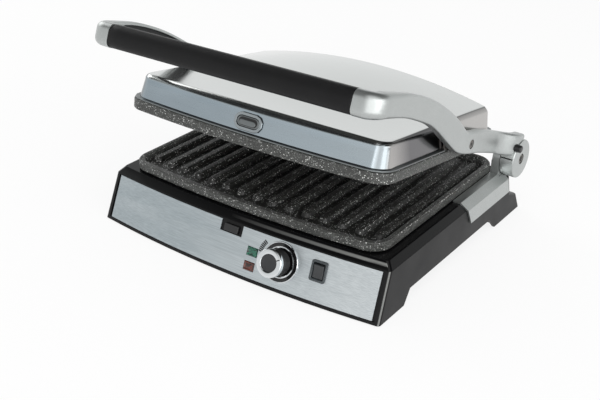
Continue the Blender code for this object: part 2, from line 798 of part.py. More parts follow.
def add_front_panel(surface, housing, base, frames):
    """Steel panel, with holes for the controls through it and the wall behind it."""
    outer = (PANEL_RECESS - SEAT_GAP) - PANEL_THICKNESS
    panel = place(
        "front_panel",
        face_slab(
            PANEL_HALF_WIDTH,
            PANEL_HALF_WIDTH - PANEL_TOP_NARROWING,
            PANEL_BOTTOM,
            PANEL_TOP,
            outer,
            outer + PANEL_THICKNESS,
        ),
        surface,
        base,
    )
    depth = PANEL_WALL + OVERRUN
    through = (-OVERRUN, depth)
    lamp_x = LAMP_WIDTH / 2 + SEAT_GAP
    lamp_z = LAMP_HEIGHT / 2 + SEAT_GAP
    switch_x = SWITCH_WIDTH / 2 - SWITCH_FLANGE + SEAT_GAP
    switch_z = SWITCH_HEIGHT / 2 - SWITCH_FLANGE + SEAT_GAP
    shaft = rod("Y", (0, 0, 0), SHAFT_RADIUS + RUNNING_GAP, *through)
    holes = {
        "knob": shaft,
        "lamp_green": box((-lamp_x, through[0], -lamp_z), (lamp_x, depth, lamp_z)),
        "lamp_red": box((-lamp_x, through[0], -lamp_z), (lamp_x, depth, lamp_z)),
        "switch": box((-switch_x, through[0], -switch_z), (switch_x, depth, switch_z)),
    }
    for name, shape in holes.items():
        shape.transform(frames[name].matrix_basis)
        hole = place(name + "_hole", shape, None, base)
        hole.hide_render = True
        hole.display_type = "WIRE"
        for piece in (panel, housing):
            step = piece.modifiers.new(name + "_hole", "BOOLEAN")
            step.object = hole
    half = NOTCH_HALF_WIDTH
    notch = box((-half, through[0] - OVERRUN, -NOTCH_DEPTH / 2), (half, PANEL_RECESS + OVERRUN / 8, NOTCH_DEPTH))
    notch.transform(frames["release"].matrix_basis)
    cut(panel, notch, "release_notch")
    slot_x = RELEASE_HALF_WIDTH + SEAT_GAP
    slot_z = RELEASE_HEIGHT / 2 + SEAT_GAP
    slot = box((-slot_x, through[0], -slot_z), (slot_x, depth + OVERRUN, slot_z))
    slot.transform(frames["release"].matrix_basis)
    cut(housing, slot, "release_slot")
    return panel


def plate_ring(inset, z):
    """A cooking plate's outline, moved in by inset, with its front corners at Y = 0."""
    return bowed_ring(
        PLATE_HALF_WIDTH - inset,
        inset,
        PLATE_DEPTH - inset,
        PLATE_BOW,
        PLATE_RADIUS - inset,
        PLATE_RADIUS - inset,
        z,
    )


def rib_shapes():
    """Tapered ribs with round ends, standing on the pocket's floor."""
    ribs = []
    root = PLATE_POCKET + PLATE_EDGE / 2
    for index in range(RIB_COUNT):
        x = (index - (RIB_COUNT - 1) / 2) * RIB_PITCH
        swell = PLATE_BOW * (1 - (x / PLATE_HALF_WIDTH) ** 2)
        front = RIB_FRONT_SETBACK - swell
        rear = PLATE_DEPTH - RIB_REAR_SETBACK
        middle = (front + rear) / 2
        rings = []
        for width, z in ((RIB_WIDTH, root), (RIB_TOP_WIDTH, RIB_BELOW_RIM)):
            shape = stadium(rear - front - (RIB_WIDTH - width), width, RIB_END_STEPS)
            rings.append([Vector((x - across, middle + along, z)) for along, across in shape])
        ribs.append(loft(rings))
    return merged(*ribs)


def plate_shape(height):
    """A plate from its rim at Z = 0 to its back at Z = height, with its pocket facing -Z."""
    return loft(
        [
            plate_ring(PLATE_RIM + PLATE_POCKET_SLOPE, PLATE_POCKET),
            plate_ring(PLATE_RIM, 0),
            plate_ring(PLATE_EDGE, 0),
            plate_ring(0, PLATE_EDGE),
            plate_ring(0, height - PLATE_EDGE),
            plate_ring(PLATE_EDGE, height),
        ]
    )


def add_plate(name, surface, parent, height):
    """A cooking plate with its ribs."""
    plate = place(name, plate_shape(height), surface, parent)
    join(plate, rib_shapes(), name + "_ribs")
    return plate


def pan_shape(depth_sign):
    """A pressed pan: flange at Z = 0, floor PAN_DEPTH away, in the plate's own frame."""
    wall = SEAT_GAP
    deep = depth_sign * PAN_DEPTH
    sheet = depth_sign * SHEET
    return loft(
        [
            pan_ring(wall + 2 * SHEET + SHEET, deep),
            pan_ring(wall + SHEET, deep - sheet),
            pan_ring(wall + SHEET, 0),
            pan_ring(-PAN_FLANGE, 0),
            pan_ring(-PAN_FLANGE, sheet),
            pan_ring(wall, sheet),
            pan_ring(wall, deep),
            pan_ring(wall + 2 * SHEET, deep + sheet),
        ]
    )


def filleted(corners, radius_of):
    """Points along straight runs joined by arcs, each corner with its own radius."""
    points = [Vector(corners[0])]
    for before, corner, after, radius in zip(corners, corners[1:], corners[2:], radius_of):
        corner = Vector(corner)
        back = (Vector(before) - corner).normalized()
        ahead = (Vector(after) - corner).normalized()
        half = back.angle(ahead) / 2
        reach = radius / math.tan(half)
        centre = corner + (back + ahead).normalized() * radius / math.sin(half)
        start = corner + back * reach - centre
        end = corner + ahead * reach - centre
        for step in range(ELEMENT_BEND_STEPS + 1):
            share = step / ELEMENT_BEND_STEPS
            points.append(centre + start.normalized().slerp(end.normalized(), share) * radius)
    points.append(Vector(corners[-1]))
    return points


def tube(name, points, radius, surface, parent, resolution=2):
    """A round bar along a run of points."""
    curve = bpy.data.curves.new(name, "CURVE")
    curve.dimensions = "3D"
    curve.bevel_depth = radius
    curve.bevel_resolution = resolution
    curve.use_fill_caps = True
    spline = curve.splines.new("POLY")
    spline.points.add(len(points) - 1)
    for target, point in zip(spline.points, points):
        target.co = (*point, 1)
    curve.materials.append(surface)
    made = bpy.data.objects.new(name, curve)
    bpy.context.collection.objects.link(made)
    made.parent = parent
    return made


def element_route(level, tail_end):
    """The heating element: a loop open at the back, its ends bent through the pan."""
    rear = PLATE_DEPTH - ELEMENT_REAR_SETBACK
    right = ELEMENT_HALF_WIDTH
    near = ELEMENT_TERMINAL_X
    corners = (
        (-near, rear, tail_end),
        (-near, rear, level),
        (-right, rear, level),
        (-right, ELEMENT_FRONT_SETBACK, level),
        (right, ELEMENT_FRONT_SETBACK, level),
        (right, rear, level),
        (near, rear, level),
        (near, rear, tail_end),
    )
    bend = ELEMENT_BEND
    return filleted(corners, (ELEMENT_TAIL_BEND, bend, bend, bend, bend, ELEMENT_TAIL_BEND))


def clip_places(z):
    """Where the two clips hold the element, on its side runs."""
    middle = (ELEMENT_FRONT_SETBACK + PLATE_DEPTH - ELEMENT_REAR_SETBACK) / 2
    return [(side, (sign * ELEMENT_HALF_WIDTH, middle, z)) for side, sign in SIDES]


def add_heater(prefix, datum, flange_z, sign, reflector_surface, element_surface, clip_surface):
    """Reflector pan, element and clips of one plate; sign is the way that the pan is deep."""
    pan_frame = empty(prefix + "_pan_frame", datum, Matrix.Translation((0, 0, flange_z)))
    reflector = place(prefix + "_reflector", pan_shape(sign), reflector_surface, pan_frame)
    floor = sign * (PAN_DEPTH - SHEET)
    level = floor - sign * (ELEMENT_LIFT + ELEMENT_RADIUS)
    tail = sign * (PAN_DEPTH + ELEMENT_TAIL)
    tube(prefix + "_element", element_route(level, tail), ELEMENT_RADIUS, element_surface, pan_frame)
    rear = PLATE_DEPTH - ELEMENT_REAR_SETBACK
    holes = [
        rod("Z", (side * ELEMENT_TERMINAL_X, rear, 0), ELEMENT_RADIUS + RUNNING_GAP, -abs(tail), abs(tail))
        for side in (-1, 1)
    ]
    cut(reflector, merged(*holes), prefix + "_tail_holes")
    thick = ELEMENT_LIFT - 2 * SEAT_GAP
    half = (CLIP_WIDTH / 2, CLIP_LENGTH / 2, thick / 2)
    clip = bevelled_box([-value for value in half], half, SEAT_GAP)
    middle = floor - sign * (SEAT_GAP + thick / 2)
    place_copies(prefix + "_element_clip", clip, clip_surface, pan_frame, clip_places(middle))
    return reflector


def saddle_points(offset):
    """The housing's section under a tower, from beside the plate over the shoulder, as (x, z)."""
    side_x = base_half_width(SADDLE_BOTTOM)
    lean = SHOULDER_WIDTH / (DECK_HEIGHT - SHOULDER_HEIGHT)
    slant = math.hypot(1, lean)
    corner = offset * (slant - lean)
    low_corner = offset * (slant - 1) / lean
    return [
        (TOWER_INNER, DECK_HEIGHT + offset),
        (base_half_width(DECK_HEIGHT) + corner * lean / 2, DECK_HEIGHT + offset),
        (base_half_width(SHOULDER_HEIGHT) + offset, SHOULDER_HEIGHT + low_corner),
        (side_x + offset, SADDLE_BOTTOM),
    ]


def saddle_shape():
    """Silver saddle over the deck, shoulder and side of the housing."""
    inner = saddle_points(SEAT_GAP)
    outer = saddle_points(SEAT_GAP + SADDLE_THICKNESS)
    outline = inner + outer[::-1]
    front = []
    rear = []
    for x, z in outline:
        low = max(0.0, (DECK_HEIGHT - z) / (DECK_HEIGHT - SADDLE_BOTTOM))
        front.append(Vector((x, SADDLE_FRONT_Y + SADDLE_FRONT_SLANT * low, z)))
        rear.append(Vector((x, SADDLE_REAR_Y + SADDLE_FRONT_SLANT * low / 2, z)))
    return loft([front, rear])


def add_tower(name, side, surface, base):
    """Hinge tower: saddle, neck and knuckle in one piece, bored for the hinge pin."""
    tower = place(name, sided(saddle_shape(), side), surface, base)
    neck_bottom = DECK_HEIGHT + SEAT_GAP
    neck_front = HINGE_Y - KNUCKLE_RADIUS
    neck = (
        (neck_front, neck_bottom),
        (NECK_REAR_Y, neck_bottom),
        (HINGE_Y + KNUCKLE_RADIUS * math.cos(math.radians(-20)), HINGE_Z + KNUCKLE_RADIUS * math.sin(math.radians(-20))),
        (HINGE_Y, HINGE_Z),
        (neck_front, HINGE_Z),
    )
    join(tower, sided(prism_x(neck, TOWER_INNER, KNUCKLE_OUTER), side), name + "_neck")
    knuckle = turned(
        "X",
        (0, HINGE_Y, HINGE_Z),
        (
            (TOWER_INNER, KNUCKLE_RADIUS - BOSS_EDGE),
            (TOWER_INNER + BOSS_EDGE, KNUCKLE_RADIUS),
            (KNUCKLE_OUTER, KNUCKLE_RADIUS),
        ),
    )
    join(tower, sided(knuckle, side), name + "_knuckle")
    bore = rod("X", (0, HINGE_Y, HINGE_Z), PIN_RADIUS + SEAT_GAP, TOWER_INNER - OVERRUN, KNUCKLE_OUTER + OVERRUN)
    cut(tower, sided(bore, side), name + "_bore")
    cut(tower, sided(boss_room(), side), name + "_boss_room")
    below = box(
        (TOWER_INNER - OVERRUN, HINGE_Y - KNUCKLE_RADIUS, DECK_HEIGHT - KNUCKLE_RADIUS / 2),
        (KNUCKLE_OUTER + OVERRUN, base_rear(SHOULDER_HEIGHT) + SEAT_GAP, DECK_HEIGHT + SEAT_GAP),
    )
    cut(tower, sided(below, side), name + "_deck_room")
    return tower


def boss_room():
    """Room beside the knuckle for the arm's boss to turn in."""
    return rod("X", (0, HINGE_Y, HINGE_Z), KNUCKLE_RADIUS + RUNNING_GAP, KNUCKLE_OUTER, LOCK_REACH, ROUND_STEPS)


def add_hinge_pin(name, side, surface, arms):
    """Pin that the knuckle and the arm's boss turn on."""
    end = BOSS_OUTER - PIN_INSET
    profile = (
        (TOWER_INNER + SEAT_GAP, PIN_RADIUS - BEVEL),
        (TOWER_INNER + SEAT_GAP + BEVEL, PIN_RADIUS),
        (end - BEVEL, PIN_RADIUS),
        (end, PIN_RADIUS - BEVEL),
        (end, PIN_DIMPLE_RADIUS),
        (end - PIN_DIMPLE, PIN_DIMPLE_RADIUS),
    )
    return place(name, sided(turned("X", (0, 0, 0), profile, SMALL_ROUND_STEPS), side), surface, arms, smooth=True)


def smooth_share(value):
    """Ease from 0 to 1."""
    value = min(1.0, max(0.0, value))
    return value * value * (3 - 2 * value)


def profile_height(profile, ahead):
    """Height of a drawn profile at a distance ahead, eased through its points."""
    index = 1
    while index < len(profile) - 2 and profile[index + 1][0] < ahead:
        index += 1
    before, low, high, after = (profile[min(max(index + step, 0), len(profile) - 1)] for step in (-1, 0, 1, 2))
    width = high[0] - low[0]
    share = (ahead - low[0]) / width
    slope_low = (high[1] - before[1]) / (high[0] - before[0])
    slope_high = (after[1] - low[1]) / (after[0] - low[0])
    square = share * share
    cube = square * share
    return (
        (2 * cube - 3 * square + 1) * low[1]
        + (cube - 2 * square + share) * width * slope_low
        + (3 * square - 2 * cube) * high[1]
        + (cube - square) * width * slope_high
    )


def arm_middle(ahead):
    """Middle height of the arm and its own height, at a distance ahead of the hinge axis."""
    top = profile_height(ARM_TOP, ahead)
    bottom = profile_height(ARM_BOTTOM, ahead)
    return (top + bottom) / 2, top - bottom


def arm_section(outer, inward, thickness, height, edge):
    """Eight corner points of the arm's section, from a point on its outer face."""
    half = height / 2
    corners = (
        (0, half - edge),
        (0, -half + edge),
        (edge, -half),
        (thickness - ARM_EDGE, -half),
        (thickness, -half + ARM_EDGE),
        (thickness, half - ARM_EDGE),
        (thickness - ARM_EDGE, half),
        (edge, half),
    )
    return [outer + inward * across + Vector((0, 0, along)) for across, along in corners]


def arm_stations():
    """Sections of the right arm, from the hinge boss forward to the grip."""
    rings = []
    corner_start = ARM_REACH - ARM_CORNER_RADIUS
    places = (ARM_FLARE_END - ARM_EDGE * 4, ARM_FLARE_END, ARM_FLARE_START) + ARM_PLACES + (corner_start,)
    for ahead in places:
        middle, height = arm_middle(ahead)
        flare = smooth_share((ARM_FLARE_START - ahead) / (ARM_FLARE_START - ARM_FLARE_END))
        outer = ARM_OUTER + (BOSS_OUTER - BOSS_EDGE - ARM_OUTER) * flare
        inner = ARM_INNER + (BOSS_INNER - ARM_INNER) * flare
        taper = smooth_share((ahead - ARM_TAPER_START) / (ARM_REACH - ARM_TAPER_START))
        thickness = outer - inner + (ARM_END_THICKNESS - ARM_THICKNESS) * taper
        edge = ARM_EDGE + (ARM_END_EDGE - ARM_EDGE) * taper
        rings.append(arm_section(Vector((outer, -ahead, middle)), Vector((-1, 0, 0)), thickness, height, edge))
    steps = CORNER_STEPS + 2
    for step in range(1, steps + 1):
        share = step / steps
        angle = math.radians(90) * share
        outward = Vector((math.cos(angle), -math.sin(angle), 0))
        ahead = corner_start + ARM_CORNER_RADIUS * math.sin(angle)
        middle, height = arm_middle(ahead)
        point = Vector((ARM_OUTER - ARM_CORNER_RADIUS, -corner_start, middle)) + outward * ARM_CORNER_RADIUS
        taper = smooth_share((corner_start + ARM_CORNER_RADIUS * share - ARM_TAPER_START) / (ARM_REACH - ARM_TAPER_START))
        thickness = ARM_THICKNESS + (ARM_END_THICKNESS - ARM_THICKNESS) * taper
        edge = ARM_EDGE + (ARM_END_EDGE - ARM_EDGE) * taper
        rings.append(arm_section(point, -outward, thickness, height, edge))
    middle, height = arm_middle(ARM_REACH)
    end = Vector((GRIP_HALF_LENGTH + SEAT_GAP, -ARM_REACH, middle))
    rings.append(arm_section(end, Vector((0, 1, 0)), ARM_END_THICKNESS, height, ARM_END_EDGE))
    return rings


def add_arm(name, side, surface, arms):
    """One arm: hinge boss, link, S bend and the corner that carries the grip."""
    arm = place(name, sided(loft(arm_stations()), side), surface, arms)
    boss = turned(
        "X",
        (0, 0, 0),
        (
            (BOSS_INNER, KNUCKLE_RADIUS),
            (BOSS_OUTER - BOSS_EDGE, KNUCKLE_RADIUS),
            (BOSS_OUTER, KNUCKLE_RADIUS - BOSS_EDGE),
        ),
    )
    join(arm, sided(boss, side), name + "_boss")
    swing = rod(
        "X", (0, 0, 0), KNUCKLE_RADIUS + RUNNING_GAP, ARM_INNER - OVERRUN, BOSS_INNER, ROUND_STEPS
    )
    cut(arm, sided(swing, side), name + "_knuckle_room")
    bore = rod("X", (0, 0, 0), PIN_RADIUS + SEAT_GAP, ARM_INNER, BOSS_OUTER + OVERRUN)
    cut(arm, sided(bore, side), name + "_pin_bore")
    pivot = (0, -PIVOT_AHEAD, PIVOT_UP)
    head = turned(
        "X",
        pivot,
        (
            (ARM_INNER - OVERRUN, PIVOT_SCREW_RADIUS + SEAT_GAP),
            (ARM_OUTER - PIVOT_HEAD_HEIGHT - SEAT_GAP, PIVOT_SCREW_RADIUS + SEAT_GAP),
            (ARM_OUTER - PIVOT_HEAD_HEIGHT - SEAT_GAP, PIVOT_HEAD_RADIUS + SEAT_GAP),
            (ARM_OUTER + OVERRUN, PIVOT_HEAD_RADIUS + SEAT_GAP),
        ),
        SMALL_ROUND_STEPS,
    )
    cut(arm, sided(head, side), name + "_pivot_hole")
    socket = rod(
        "X",
        (0, -ARM_REACH + ARM_END_THICKNESS / 2, arm_middle(ARM_REACH)[0]),
        GRIP_CORE_RADIUS + SEAT_GAP,
        GRIP_HALF_LENGTH - OVERRUN,
        GRIP_HALF_LENGTH + GRIP_CORE_SOCKET + SEAT_GAP,
    )
    cut(arm, sided(socket, side), name + "_grip_socket")
    return arm


def add_lock(surface, arm_right, arms):
    """Round lock slider in a channel across the right boss; it stands out past the boss's end."""
    frame = empty("lock_frame", arms, Matrix.Rotation(LOCK_ANGLE - math.radians(90), 4, "X"))
    centre = (0, 0, KNUCKLE_RADIUS + LOCK_RISE)
    profile = (
        (LOCK_INNER, LOCK_RADIUS - BEVEL),
        (LOCK_INNER + BEVEL, LOCK_RADIUS),
        (LOCK_REACH - BEVEL, LOCK_RADIUS),
        (LOCK_REACH, LOCK_RADIUS - BEVEL),
    )
    place("lock_slider", turned("X", centre, profile, SMALL_ROUND_STEPS), surface, frame, smooth=True)
    wide = LOCK_RADIUS + SEAT_GAP
    channel = rod("X", centre, wide, LOCK_INNER - SEAT_GAP, BOSS_OUTER + OVERRUN)
    channel.transform(frame.matrix_basis)
    cut(arm_right, channel, "lock_channel")
    low = (LOCK_INNER - SEAT_GAP, -wide, centre[2])
    open_side = box(low, (BOSS_OUTER + OVERRUN, wide, centre[2] + KNUCKLE_RADIUS))
    about = Matrix.Translation(centre)
    open_side.transform(about @ Matrix.Rotation(LOCK_MOUTH_TURN, 4, "X") @ about.inverted())
    open_side.transform(frame.matrix_basis)
    cut(arm_right, open_side, "lock_channel_mouth")


def add_pivot_screws(surface, arms):
    """Screws in the arms' elbows that the lid's bushes turn on."""
    pivot = (0, -PIVOT_AHEAD, PIVOT_UP)
    head = ARM_OUTER - PIVOT_HEAD_HEIGHT
    tip = PLATE_HALF_WIDTH - COVER_INSET + SEAT_GAP
    profile = (
        (tip, PIVOT_SCREW_RADIUS),
        (head, PIVOT_SCREW_RADIUS),
        (head, PIVOT_HEAD_RADIUS),
        (ARM_OUTER - SEAT_GAP - BEVEL / 2, PIVOT_HEAD_RADIUS),
        (ARM_OUTER - SEAT_GAP, PIVOT_HEAD_RADIUS - BEVEL / 2),
    )
    for side, sign in SIDES:
        shape = sided(turned("X", pivot, profile, SMALL_ROUND_STEPS), sign)
        place("pivot_screw_" + side, shape, surface, arms, smooth=True)


def grip_section():
    """The grip's section as (y, z): flat top and back, swelling front."""
    half = GRIP_HEIGHT / 2
    nose = GRIP_DEPTH * GRIP_NOSE_SHARE
    points = []
    for step in range(GRIP_STEPS + 1):
        angle = math.radians(-90 + 180 * step / GRIP_STEPS)
        points.append((nose * (1 - math.cos(angle)), half * math.sin(angle)))
    edge = ARM_EDGE
    points += [(GRIP_DEPTH - edge, half), (GRIP_DEPTH, half - edge), (GRIP_DEPTH, -half + edge), (GRIP_DEPTH - edge, -half)]
    return points


def add_grip(surface, core_surface, arms):
    """Black grip and the steel core through it."""
    middle_y = -ARM_REACH + ARM_END_THICKNESS / 2
    middle_z = arm_middle(ARM_REACH)[0]
    outline = [(middle_y - GRIP_DEPTH / 2 + y, middle_z + z) for y, z in grip_section()]
    grip = place("grip", prism_x(outline, -GRIP_HALF_LENGTH, GRIP_HALF_LENGTH), surface, arms)
    reach = GRIP_HALF_LENGTH + OVERRUN
    centre = (0, middle_y, middle_z)
    cut(grip, rod("X", centre, GRIP_CORE_RADIUS + SEAT_GAP, -reach, reach), "grip_bore")
    end = GRIP_HALF_LENGTH + GRIP_CORE_SOCKET
    place("grip_core", rod("X", centre, GRIP_CORE_RADIUS, -end, end), core_surface, arms, smooth=True)


def add_bushes(surface, lid_pivot):
    """Flanged bushes that turn on the pivot screws and slide in the lid's lugs."""
    inner = PLATE_HALF_WIDTH - COVER_INSET + SEAT_GAP
    outer = ARM_INNER - SEAT_GAP
    bore = PIVOT_SCREW_RADIUS + SEAT_GAP
    profile = (
        (inner, bore),
        (inner, BUSH_RADIUS),
        (outer - BUSH_FLANGE, BUSH_RADIUS),
        (outer - BUSH_FLANGE, BUSH_FLANGE_RADIUS),
        (outer, BUSH_FLANGE_RADIUS),
        (outer, bore),
    )
    for side, sign in SIDES:
        shape = sided(turned_ring("X", (0, 0, 0), profile, SMALL_ROUND_STEPS), sign)
        place("pivot_bush_" + side, shape, surface, lid_pivot, smooth=True)


def lug_reach(gap=0.0):
    """Front and rear end of a lug, each moved out by gap."""
    front = PIVOT_SETBACK + LID_FLOAT / 2 - LUG_FRONT_REACH
    return front - gap, PIVOT_SETBACK + LID_FLOAT + LUG_REAR_REACH + gap


def add_lugs(surface, datum):
    """Slotted steel lugs on both sides of the lid."""
    inner = PLATE_HALF_WIDTH - COVER_INSET + SEAT_GAP
    outer = inner + LUG_THICKNESS
    low = LID_FRAME_BOTTOM
    high = PIVOT_HEIGHT + LUG_HALF_HEIGHT
    front, rear = lug_reach()
    edge = LUG_FOOT
    outline = ((front, low), (rear, low), (rear, high - edge), (rear - edge, high), (front + edge, high), (front, high - edge))
    width = 2 * (BUSH_RADIUS + SEAT_GAP)
    middle = PIVOT_SETBACK + LID_FLOAT / 2
    slot = [(middle + y, PIVOT_HEIGHT + z) for y, z in stadium(width + LID_FLOAT, width, CORNER_STEPS * 3)]
    for side, sign in SIDES:
        name = "lid_lug_" + side
        lug = place(name, sided(prism_x(outline, inner, outer), sign), surface, datum)
        cut(lug, sided(prism_x(slot, inner - OVERRUN, outer + OVERRUN), sign), name + "_slot")


def add_lid_frame(surface, datum, latch):
    """Thin frame between the upper plate and the cover, notched for the lugs and the blade."""
    rings = []
    for inset, z in (
        (LID_FRAME_INSET, LID_FRAME_BOTTOM),
        (LID_FRAME_INSET, LID_FRAME_TOP),
        (LID_FRAME_INSET + LID_FRAME_WIDTH, LID_FRAME_TOP),
        (LID_FRAME_INSET + LID_FRAME_WIDTH, LID_FRAME_BOTTOM),
    ):
        rings.append(plate_ring(inset, z))
    frame = place("lid_frame", loft(rings, closed=True), surface, datum)
    half = BLADE_HALF_WIDTH + RUNNING_GAP
    depth = LATCH_DEPTH + BLADE_THICKNESS
    slot = box(
        (-half, LATCH_DEPTH - RUNNING_GAP, -LATCH_HEIGHT), (half, depth + LATCH_TRAVEL + RUNNING_GAP, -LATCH_TUBE_HEIGHT / 2)
    )
    slot.transform(latch.matrix_basis)
    cut(frame, slot, "blade_slot")
    front, rear = lug_reach(SEAT_GAP)
    edge = PLATE_HALF_WIDTH - COVER_INSET
    notches = [
        sided(
            box((edge, front, LID_FRAME_BOTTOM - OVERRUN), (PLATE_HALF_WIDTH, rear, LID_FRAME_TOP + OVERRUN)), sign
        )
        for _, sign in SIDES
    ]
    cut(frame, merged(*notches), "lug_notches")
    return frame


def cover_ring(inset, front_extra, z):
    """The cover's outline, moved in by inset, and at the front by front_extra more."""
    return bowed_ring(
        PLATE_HALF_WIDTH - COVER_INSET - inset,
        COVER_FRONT_SETBACK + inset + front_extra,
        PLATE_DEPTH - COVER_REAR_SETBACK - inset,
        PLATE_BOW,
        max(COVER_RADIUS - inset, COVER_FOLD),
        max(COVER_REAR_RADIUS - inset, COVER_FOLD / 2),
        z,
        COVER_SIDE_STEPS,
        COVER_REAR_STEPS,
    )


def cover_crown(point, edge_height):
    """Height of the cover's crowned top over a point."""
    half = PLATE_HALF_WIDTH - COVER_INSET
    back = point.y / PLATE_DEPTH
    across = 1 - (point.x / half) ** 2
    share = COVER_CROWN_FRONT_SHARE + (1 - COVER_CROWN_FRONT_SHARE) * smooth_share(back * 1.15)
    return edge_height + COVER_CROWN * share * max(0.0, across)


def cover_skin(inset):
    """Rings of the cover's skin from its open bottom to the middle of its top."""
    top = COVER_BOTTOM + COVER_SIDE_HEIGHT
    rings = [cover_ring(inset, 0, COVER_BOTTOM)]
    lean = COVER_SIDE_LEAN
    front = COVER_FRONT_LEAN - COVER_SIDE_LEAN
    rings.append(cover_ring(inset + lean, front, top - inset))
    for step in range(1, FOLD_STEPS + 1):
        angle = math.radians(90 * step / FOLD_STEPS)
        moved = COVER_FOLD * (1 - math.cos(angle))
        height = top - inset + COVER_FOLD * math.sin(angle)
        ring = cover_ring(inset + lean + moved, front, height)
        if step == FOLD_STEPS:
            ring = [Vector((p.x, p.y, cover_crown(p, height))) for p in ring]
        rings.append(ring)
    edge = rings[-1]
    height = top - inset + COVER_FOLD
    centre = Vector((0, PLATE_DEPTH / 2, 0))
    for share in COVER_RING_SHARES:
        ring = []
        for point in edge:
            flat = centre.lerp(Vector((point.x, point.y, 0)), share)
            ring.append(Vector((flat.x, flat.y, cover_crown(flat, height))))
        rings.append(ring)
    return rings


def add_cover(surface, datum, latch):
    """Polished steel cover: a crowned shell, open below, with the latch's hole."""
    outer = cover_skin(0)
    inner = cover_skin(COVER_WALL)
    cover = place("top_cover", loft(inner[::-1] + outer), surface, datum, smooth=True)
    hole = stadium(LATCH_TUBE_WIDTH + 2 * SEAT_GAP, LATCH_TUBE_HEIGHT + 2 * SEAT_GAP)
    opening = prism_y(hole, -LATCH_DEPTH, LATCH_DEPTH)
    opening.transform(latch.matrix_basis)
    cut(cover, opening, "latch_hole")
    return cover


def latch_frame(datum):
    """A frame on the cover's front face at the latch: Y straight in, Z up the face."""
    up_the_face = LATCH_HEIGHT - COVER_BOTTOM
    y = COVER_FRONT_SETBACK - PLATE_BOW + COVER_FRONT_LEAN * up_the_face / COVER_SIDE_HEIGHT
    lean = math.atan2(COVER_FRONT_LEAN, COVER_SIDE_HEIGHT)
    spot = Matrix.Translation((LATCH_X, y, LATCH_HEIGHT))
    return empty("latch_frame", datum, spot @ Matrix.Rotation(-lean, 4, "X"))


def stadium_run(sections):
    """Rings of slot outlines along Y, from (width, height, y) triples."""
    return [[Vector((x, y, z)) for x, z in stadium(width, height)] for width, height, y in sections]


def add_latch(bezel_surface, button_surface, spring_surface, frame):
    """Bezel, button with its blade, and spring of the upper plate's latch."""
    seat = -SEAT_GAP - FACE_SAG
    front = seat - LATCH_BEZEL_PROUD
    rear = LATCH_DEPTH - SEAT_GAP
    bore_w = LATCH_TUBE_WIDTH - 2 * LATCH_WALL
    bore_h = LATCH_TUBE_HEIGHT - 2 * LATCH_WALL
    bezel = (
        (LATCH_BEZEL_WIDTH - BEVEL, LATCH_BEZEL_HEIGHT - BEVEL, front),
        (LATCH_BEZEL_WIDTH, LATCH_BEZEL_HEIGHT, front + BEVEL / 2),
        (LATCH_BEZEL_WIDTH, LATCH_BEZEL_HEIGHT, seat),
        (LATCH_TUBE_WIDTH, LATCH_TUBE_HEIGHT, seat),
        (LATCH_TUBE_WIDTH, LATCH_TUBE_HEIGHT, rear),
        (bore_w, bore_h, rear),
        (bore_w, bore_h, front),
    )
    place("latch_bezel", loft(stadium_run(bezel), closed=True), bezel_surface, frame, smooth=True)
    width = bore_w - 2 * SEAT_GAP
    height = bore_h - 2 * SEAT_GAP
    back = LATCH_DEPTH + BLADE_THICKNESS
    button = ((width - BEVEL, height - BEVEL, front + BEVEL / 2), (width, height, front + BEVEL), (width, height, back))
    button = place("latch_button", loft(stadium_run(button)), button_surface, frame)
    tilt = math.atan2(COVER_FRONT_LEAN, COVER_SIDE_HEIGHT)
    reach = (LATCH_HEIGHT - UPPER_PLATE_HEIGHT - SEAT_GAP) / math.cos(tilt) - (back + LATCH_TRAVEL) * math.tan(tilt)
    blade = box((-BLADE_HALF_WIDTH, LATCH_DEPTH, -reach), (BLADE_HALF_WIDTH, back, height / 4))
    join(button, blade, "latch_blade")
    start = back + LATCH_TRAVEL + RUNNING_GAP
    add_spring("latch_spring", (0, start, 0), LATCH_SPRING_LENGTH, spring_surface, frame)


def add_spring(name, start, length, surface, parent):
    """A compression spring that runs along Y of its parent, wound as one unbroken wire."""
    points = []
    total = SPRING_TURNS * SPRING_POINTS_PER_TURN
    for step in range(total + 1):
        angle = math.tau * step / SPRING_POINTS_PER_TURN
        y = start[1] + SPRING_WIRE + (length - 2 * SPRING_WIRE) * step / total
        x = start[0] + SPRING_RADIUS * math.cos(angle)
        points.append(Vector((x, y, start[2] + SPRING_RADIUS * math.sin(angle))))
    return tube(name, points, SPRING_WIRE, surface, parent, resolution=1)


